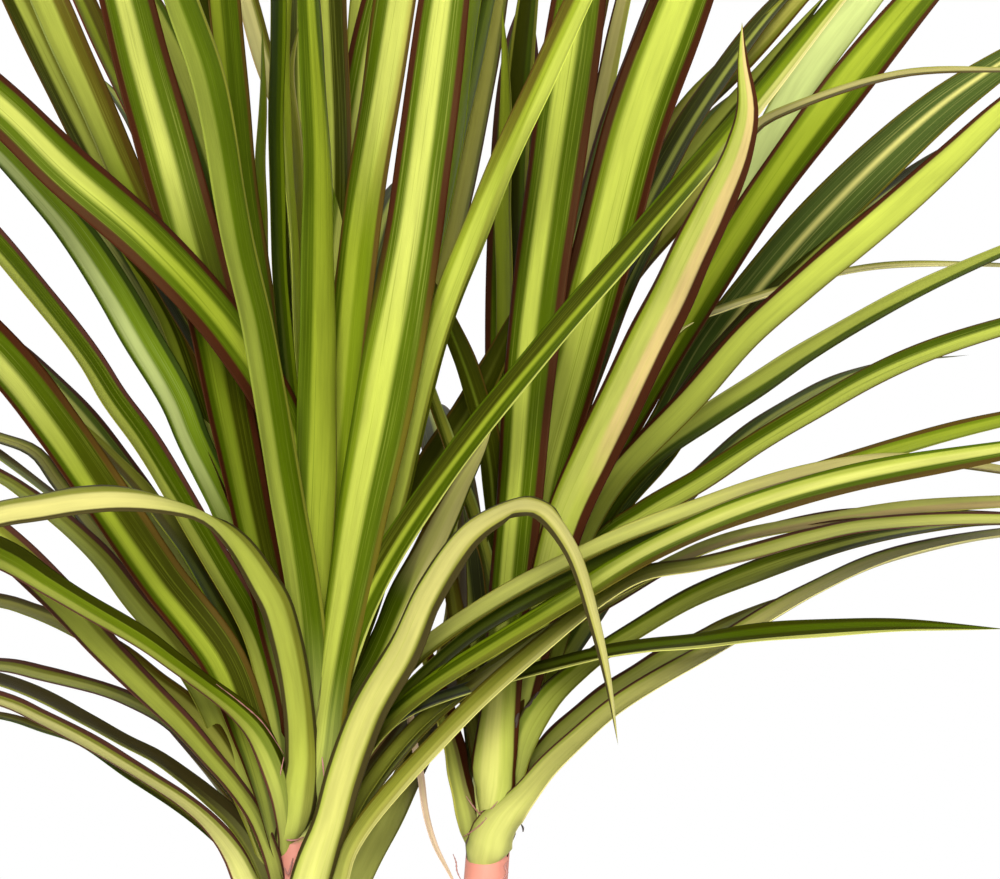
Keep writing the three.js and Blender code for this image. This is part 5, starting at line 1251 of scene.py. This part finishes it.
def crown(name, shoot, rows, looks, far_looks, material):
    """The leaves of one crown, dealt out to pieces of a few leaves each."""
    random = seeded(shoot["seed"])
    blades = [(back_blade(shoot, k, random), BACK_LOOKS[k % len(BACK_LOOKS)], None)
              for k in range(BACK_LEAVES)]
    blades += [(viewed_blade(shoot, row), looks[row[0]], far_looks.get(row[0])) for row in rows]
    pieces = math.ceil(len(blades) / LEAVES_A_PIECE)
    for piece in range(pieces):
        strips = Strips()
        for number in range(piece, len(blades), pieces):
            blade, look, far = blades[number]
            strips.add(blade, look, number + shoot["seed"] * SEED_SHARE, far)
        item = strips.build(f"{name}_leaves_{piece + 1}", material)
        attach(item, "root")
        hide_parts(name)


def shoot_piece(name, crown_node, shoot, material):
    places = []
    for k in range(SHOOT_RINGS):
        height = lerp(shoot_foot(shoot), shoot_top(shoot), k / (SHOOT_RINGS - 1))
        places += ring(shoot_point(shoot, height), shoot_radius(shoot, height), height, SHOOT_SIDES)
    faces = ring_faces(SHOOT_RINGS, SHOOT_SIDES) + end_faces(SHOOT_RINGS, SHOOT_SIDES)
    item = made(name, places, faces, material)
    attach(item, "root")
    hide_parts(crown_node)


def cane_piece(node, x, top, material):
    bevel = CANE_END_BEVEL
    profile = [(0, CANE_FOOT), (CANE_RADIUS - bevel, CANE_FOOT), (CANE_RADIUS, CANE_FOOT + bevel)]
    z = CANE_FOOT + CANE_DEPTH_IN_SOIL
    while z < top - SCAR_SPACING:
        profile += [(CANE_RADIUS + SCAR_HEIGHT * proud, z + SCAR_SPACING * up) for up, proud in SCAR_FORM]
        z += SCAR_SPACING
    profile += [(CANE_RADIUS, top - bevel), (CANE_RADIUS - bevel, top), (0, top)]
    item = lathe(node + "_bark", profile, CANE_SIDES, material, (x, 0))
    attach(item, "root")
    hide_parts(node)


def wall_radius_at(z):
    return lerp(POT_FOOT_RADIUS, POT_TOP_RADIUS - COLLAR_STEP, z / POT_HEIGHT)


def rounded(corner, start, end):
    """Points of a curve that rounds a corner of a profile between two points on its sides."""
    shares = [k / ROUNDING_STEPS for k in range(ROUNDING_STEPS + 1)]
    return [tuple((1 - t) ** 2 * a + 2 * t * (1 - t) * c + t * t * b
                  for a, c, b in zip(start, corner, end)) for t in shares]


def drilled(item):
    """Cut the round drain holes through the bottom of the pot."""
    cutters = []
    for x, y, z in ring((0, 0), DRAIN_CIRCLE, 0, DRAIN_HOLES):
        bpy.ops.mesh.primitive_cylinder_add(vertices=DRAIN_SIDES, radius=DRAIN_RADIUS * MM,
                                            depth=DRAIN_CUT * MM, location=(x, y, z))
        cutters.append(bpy.context.object)
    for cutter in cutters:
        cut = item.modifiers.new("hole", "BOOLEAN")
        cut.operation = "DIFFERENCE"
        cut.object = cutter
        cut.solver = "EXACT"
    graph = bpy.context.evaluated_depsgraph_get()
    mesh = bpy.data.meshes.new_from_object(item.evaluated_get(graph))
    item.modifiers.clear()
    item.data = mesh
    for cutter in cutters:
        bpy.data.objects.remove(cutter)
    mesh.set_sharp_from_angle(angle=SHARP_ANGLE)


def pot_piece():
    top, foot, rim = POT_TOP_RADIUS, POT_FOOT_RADIUS, RIM_ROUNDING
    inner = top - COLLAR_STEP - POT_WALL
    foot_inside = foot - POT_WALL
    collar = top - COLLAR_BEVEL
    profile = [(0, 0)] + [(foot - inward, deep) for inward, deep in FOOT_GROOVE]
    profile += rounded((foot, 0), (foot - FOOT_BEVEL, 0), (foot, FOOT_BEVEL))
    profile += [(wall_radius_at(UNDER_COLLAR - COLLAR_LEDGE), UNDER_COLLAR - COLLAR_LEDGE)]
    profile += rounded((collar, UNDER_COLLAR), (collar - COLLAR_LEDGE, UNDER_COLLAR),
                       (collar, UNDER_COLLAR + COLLAR_BEVEL))
    profile += rounded((top, POT_HEIGHT), (top, POT_HEIGHT - rim), (top - rim, POT_HEIGHT))
    profile += rounded((inner, POT_HEIGHT), (inner + rim, POT_HEIGHT), (inner, POT_HEIGHT - rim))
    profile += [(wall_radius_at(UNDER_COLLAR) - POT_WALL, UNDER_COLLAR)]
    profile += rounded((foot_inside, POT_WALL), (foot_inside, POT_WALL + FOOT_BEVEL),
                       (foot_inside - FOOT_BEVEL, POT_WALL))
    profile += [(0, POT_WALL)]
    item = lathe("pot_moulded", profile, POT_SIDES, pot_material())
    drilled(item)
    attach(item, "root")
    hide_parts("pot")


def soil_radius_at(z):
    return wall_radius_at(z) - POT_WALL - GAP


def soil_height(x, y):
    """The filling's mounded top, with crumbs."""
    out = math.hypot(x, y)
    edge = soil_radius_at(SOIL_SURFACE) - SOIL_EDGE_CLEARANCE
    mound = np.interp(out, [0, SOIL_MOUND_RADIUS, edge - SOIL_SLOPE, edge],
                      [SOIL_MOUND_HEIGHT - SOIL_DIP, SOIL_MOUND_HEIGHT, SOIL_MOUND_HEIGHT / 2, -SOIL_DIP])
    crumbs = sum(noise.noise((x * fine, y * fine, level)) * tall for fine, level, tall in CRUMBS)
    return SOIL_SURFACE + mound + crumbs * clamp((edge - out) / CRUMBS_FADE_OVER, LEAST_CRUMBS, 1)


def soil_piece():
    random = seeded(SOIL_SEED)
    inside = POT_FOOT_RADIUS - POT_WALL - GAP
    edge = soil_radius_at(SOIL_SURFACE) - SOIL_EDGE_CLEARANCE
    shoulder = SOIL_SURFACE - SOIL_SHOULDER
    outline = [(inside - SOIL_BEVEL, POT_WALL + GAP), (inside, POT_WALL + GAP + SOIL_BEVEL),
               (soil_radius_at(shoulder), shoulder)]
    places = [place for radius, z in outline for place in ring((0, 0), radius, z, SOIL_SIDES)]
    for k in range(SOIL_RINGS):
        for x, y, _ in ring((0, 0), edge * (1 - k / SOIL_RINGS), 0, SOIL_SIDES):
            places.append((x, y, soil_height(x / MM, y / MM) * MM))
    rings = len(outline) + SOIL_RINGS
    faces = ring_faces(rings, SOIL_SIDES) + end_faces(rings, SOIL_SIDES)
    for _ in range(SOIL_LUMPS):
        out = edge * LUMPS_WITHIN * math.sqrt(next(random))
        angle = 2 * math.pi * next(random)
        x, y = out * math.cos(angle), out * math.sin(angle)
        size = lerp(*LUMP_SIZES, next(random) ** 2)
        lump(places, faces, (x, y, soil_height(x, y)), size, random)
    item = made("soil_mix", places, faces, soil_material())
    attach(item, "root")
    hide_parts("soil")


def lump(places, faces, centre, size, random):
    """A small irregular lump with eight corners, sunk half into what it lies on."""
    first = len(places)
    turn = 2 * math.pi * next(random)
    long = size * lerp(*LUMP_LENGTHS, next(random))
    tall = size * lerp(*LUMP_HEIGHTS, next(random))
    for up in (-1, 1):
        for right, away in ((-1, -1), (1, -1), (1, 1), (-1, 1)):
            grow = lerp(*LUMP_CORNERS, next(random)) * (LUMP_TOP_SHARE if up > 0 else 1)
            a, b = right * long / 2 * grow, away * size / 2 * grow
            places.append(((centre[0] + a * math.cos(turn) - b * math.sin(turn)) * MM,
                           (centre[1] + a * math.sin(turn) + b * math.cos(turn)) * MM,
                           (centre[2] + up * tall / 2) * MM))
    corners = ((3, 2, 1, 0), (4, 5, 6, 7), (0, 1, 5, 4), (1, 2, 6, 5), (2, 3, 7, 6), (3, 0, 4, 7))
    faces.extend(tuple(first + k for k in corner) for corner in corners)


def trim_piece(name, node, strands, material):
    """Thin torn edges and flecks, as tubes through points of the reference view."""
    places, faces = [], []
    shares = np.linspace(0, 1, TRIM_RINGS)
    for thick, legs in strands:
        line = spline([place_in_view(*leg) for leg in legs], shares)
        way = unit(np.gradient(line, axis=0))
        side = unit(np.cross(way, TOWARD_VIEWER))
        front = np.cross(way, side)
        first = len(places)
        for k, share in enumerate(shares):
            swell = math.sin(math.pi * lerp(*TRIM_TAPERS, share))
            radius = thick * lerp(TRIM_END_SHARE, 1, swell) / 2
            radius *= 1 + TRIM_RAGGEDNESS * math.sin(k * TRIM_RAG_STEP)
            for s in range(TRIM_SIDES):
                angle = 2 * math.pi * s / TRIM_SIDES
                out = math.cos(angle) * side[k] + math.sin(angle) * front[k] * TRIM_FLATNESS
                places.append(tuple((line[k] + out * radius) * MM))
        faces += ring_faces(TRIM_RINGS, TRIM_SIDES, first) + end_faces(TRIM_RINGS, TRIM_SIDES, first)
    item = made(name, places, faces, material)
    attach(item, "root")
    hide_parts(node)


def stage():
    """A near-white floor, a white world and three lamps."""
    bpy.ops.mesh.primitive_plane_add(size=FLOOR_SIZE, location=(0, 0, FLOOR_Z))
    floor = bpy.context.object
    floor.name = "floor"
    floor.data.materials.append(plain_material("floor_white", linear(FLOOR_WHITE), roughness=0.9))
    world = bpy.data.worlds.new("studio")
    bpy.context.scene.world = world
    world.use_nodes = True
    background = world.node_tree.nodes["Background"]
    background.inputs["Color"].default_value = (1, 1, 1, 1)
    background.inputs["Strength"].default_value = 1.0
    for name, (place, size, power) in LAMPS.items():
        data = bpy.data.lights.new(name, "AREA")
        data.shape = "SQUARE"
        data.size = size
        data.energy = power
        lamp = bpy.data.objects.new(name, data)
        bpy.context.scene.collection.objects.link(lamp)
        lamp.location = place
        toward = Vector(LIT_POINT) - Vector(place)
        lamp.rotation_euler = toward.to_track_quat("-Z", "Y").to_euler()


def camera():
    data = bpy.data.cameras.new("reference_view")
    data.sensor_width = SENSOR_WIDTH
    data.lens = SENSOR_WIDTH * VIEW_DISTANCE / PICTURE_WIDTH_MM
    cam = bpy.data.objects.new("reference_view", data)
    bpy.context.scene.collection.objects.link(cam)
    cam.location = (VIEW_CENTRE_X * MM, -VIEW_DISTANCE * MM, VIEW_CENTRE_Z * MM)
    cam.rotation_euler = (math.pi / 2, 0, 0)
    bpy.context.scene.camera = cam


leaf = leaf_material()
crown("crown_left", LEFT_SHOOT, LEFT_LEAVES, LOOKS["left"], FAR_LOOKS["left"], leaf)
crown("crown_right", RIGHT_SHOOT, RIGHT_LEAVES, LOOKS["right"], FAR_LOOKS["right"], leaf)
shoot_skin = shoot_material()
shoot_piece("shoot_left", "crown_left", LEFT_SHOOT, shoot_skin)
shoot_piece("shoot_right", "crown_right", RIGHT_SHOOT, shoot_skin)
bark = cane_material()
cane_piece("cane_left", LEFT_CANE_X, shoot_foot(LEFT_SHOOT) - GAP, bark)
cane_piece("cane_right", RIGHT_CANE_X, shoot_foot(RIGHT_SHOOT) - GAP, bark)
pot_piece()
soil_piece()
pink_skin = plain_material("torn_pink_edge", leaf_colour(MEMBRANE_PINK), roughness=0.6)
brown_skin = plain_material("dry_brown", leaf_colour(DRY_BROWN), roughness=0.8)
trim_piece("torn_edges_left", "crown_left", TRIMS_LEFT, pink_skin)
trim_piece("torn_edges_right", "crown_right", TRIMS_RIGHT, pink_skin)
trim_piece("dry_flecks_right", "crown_right", FLECKS_RIGHT, brown_skin)

stage()
camera()
bpy.context.scene.view_settings.view_transform = "Standard"
bpy.context.scene.view_settings.look = "None"
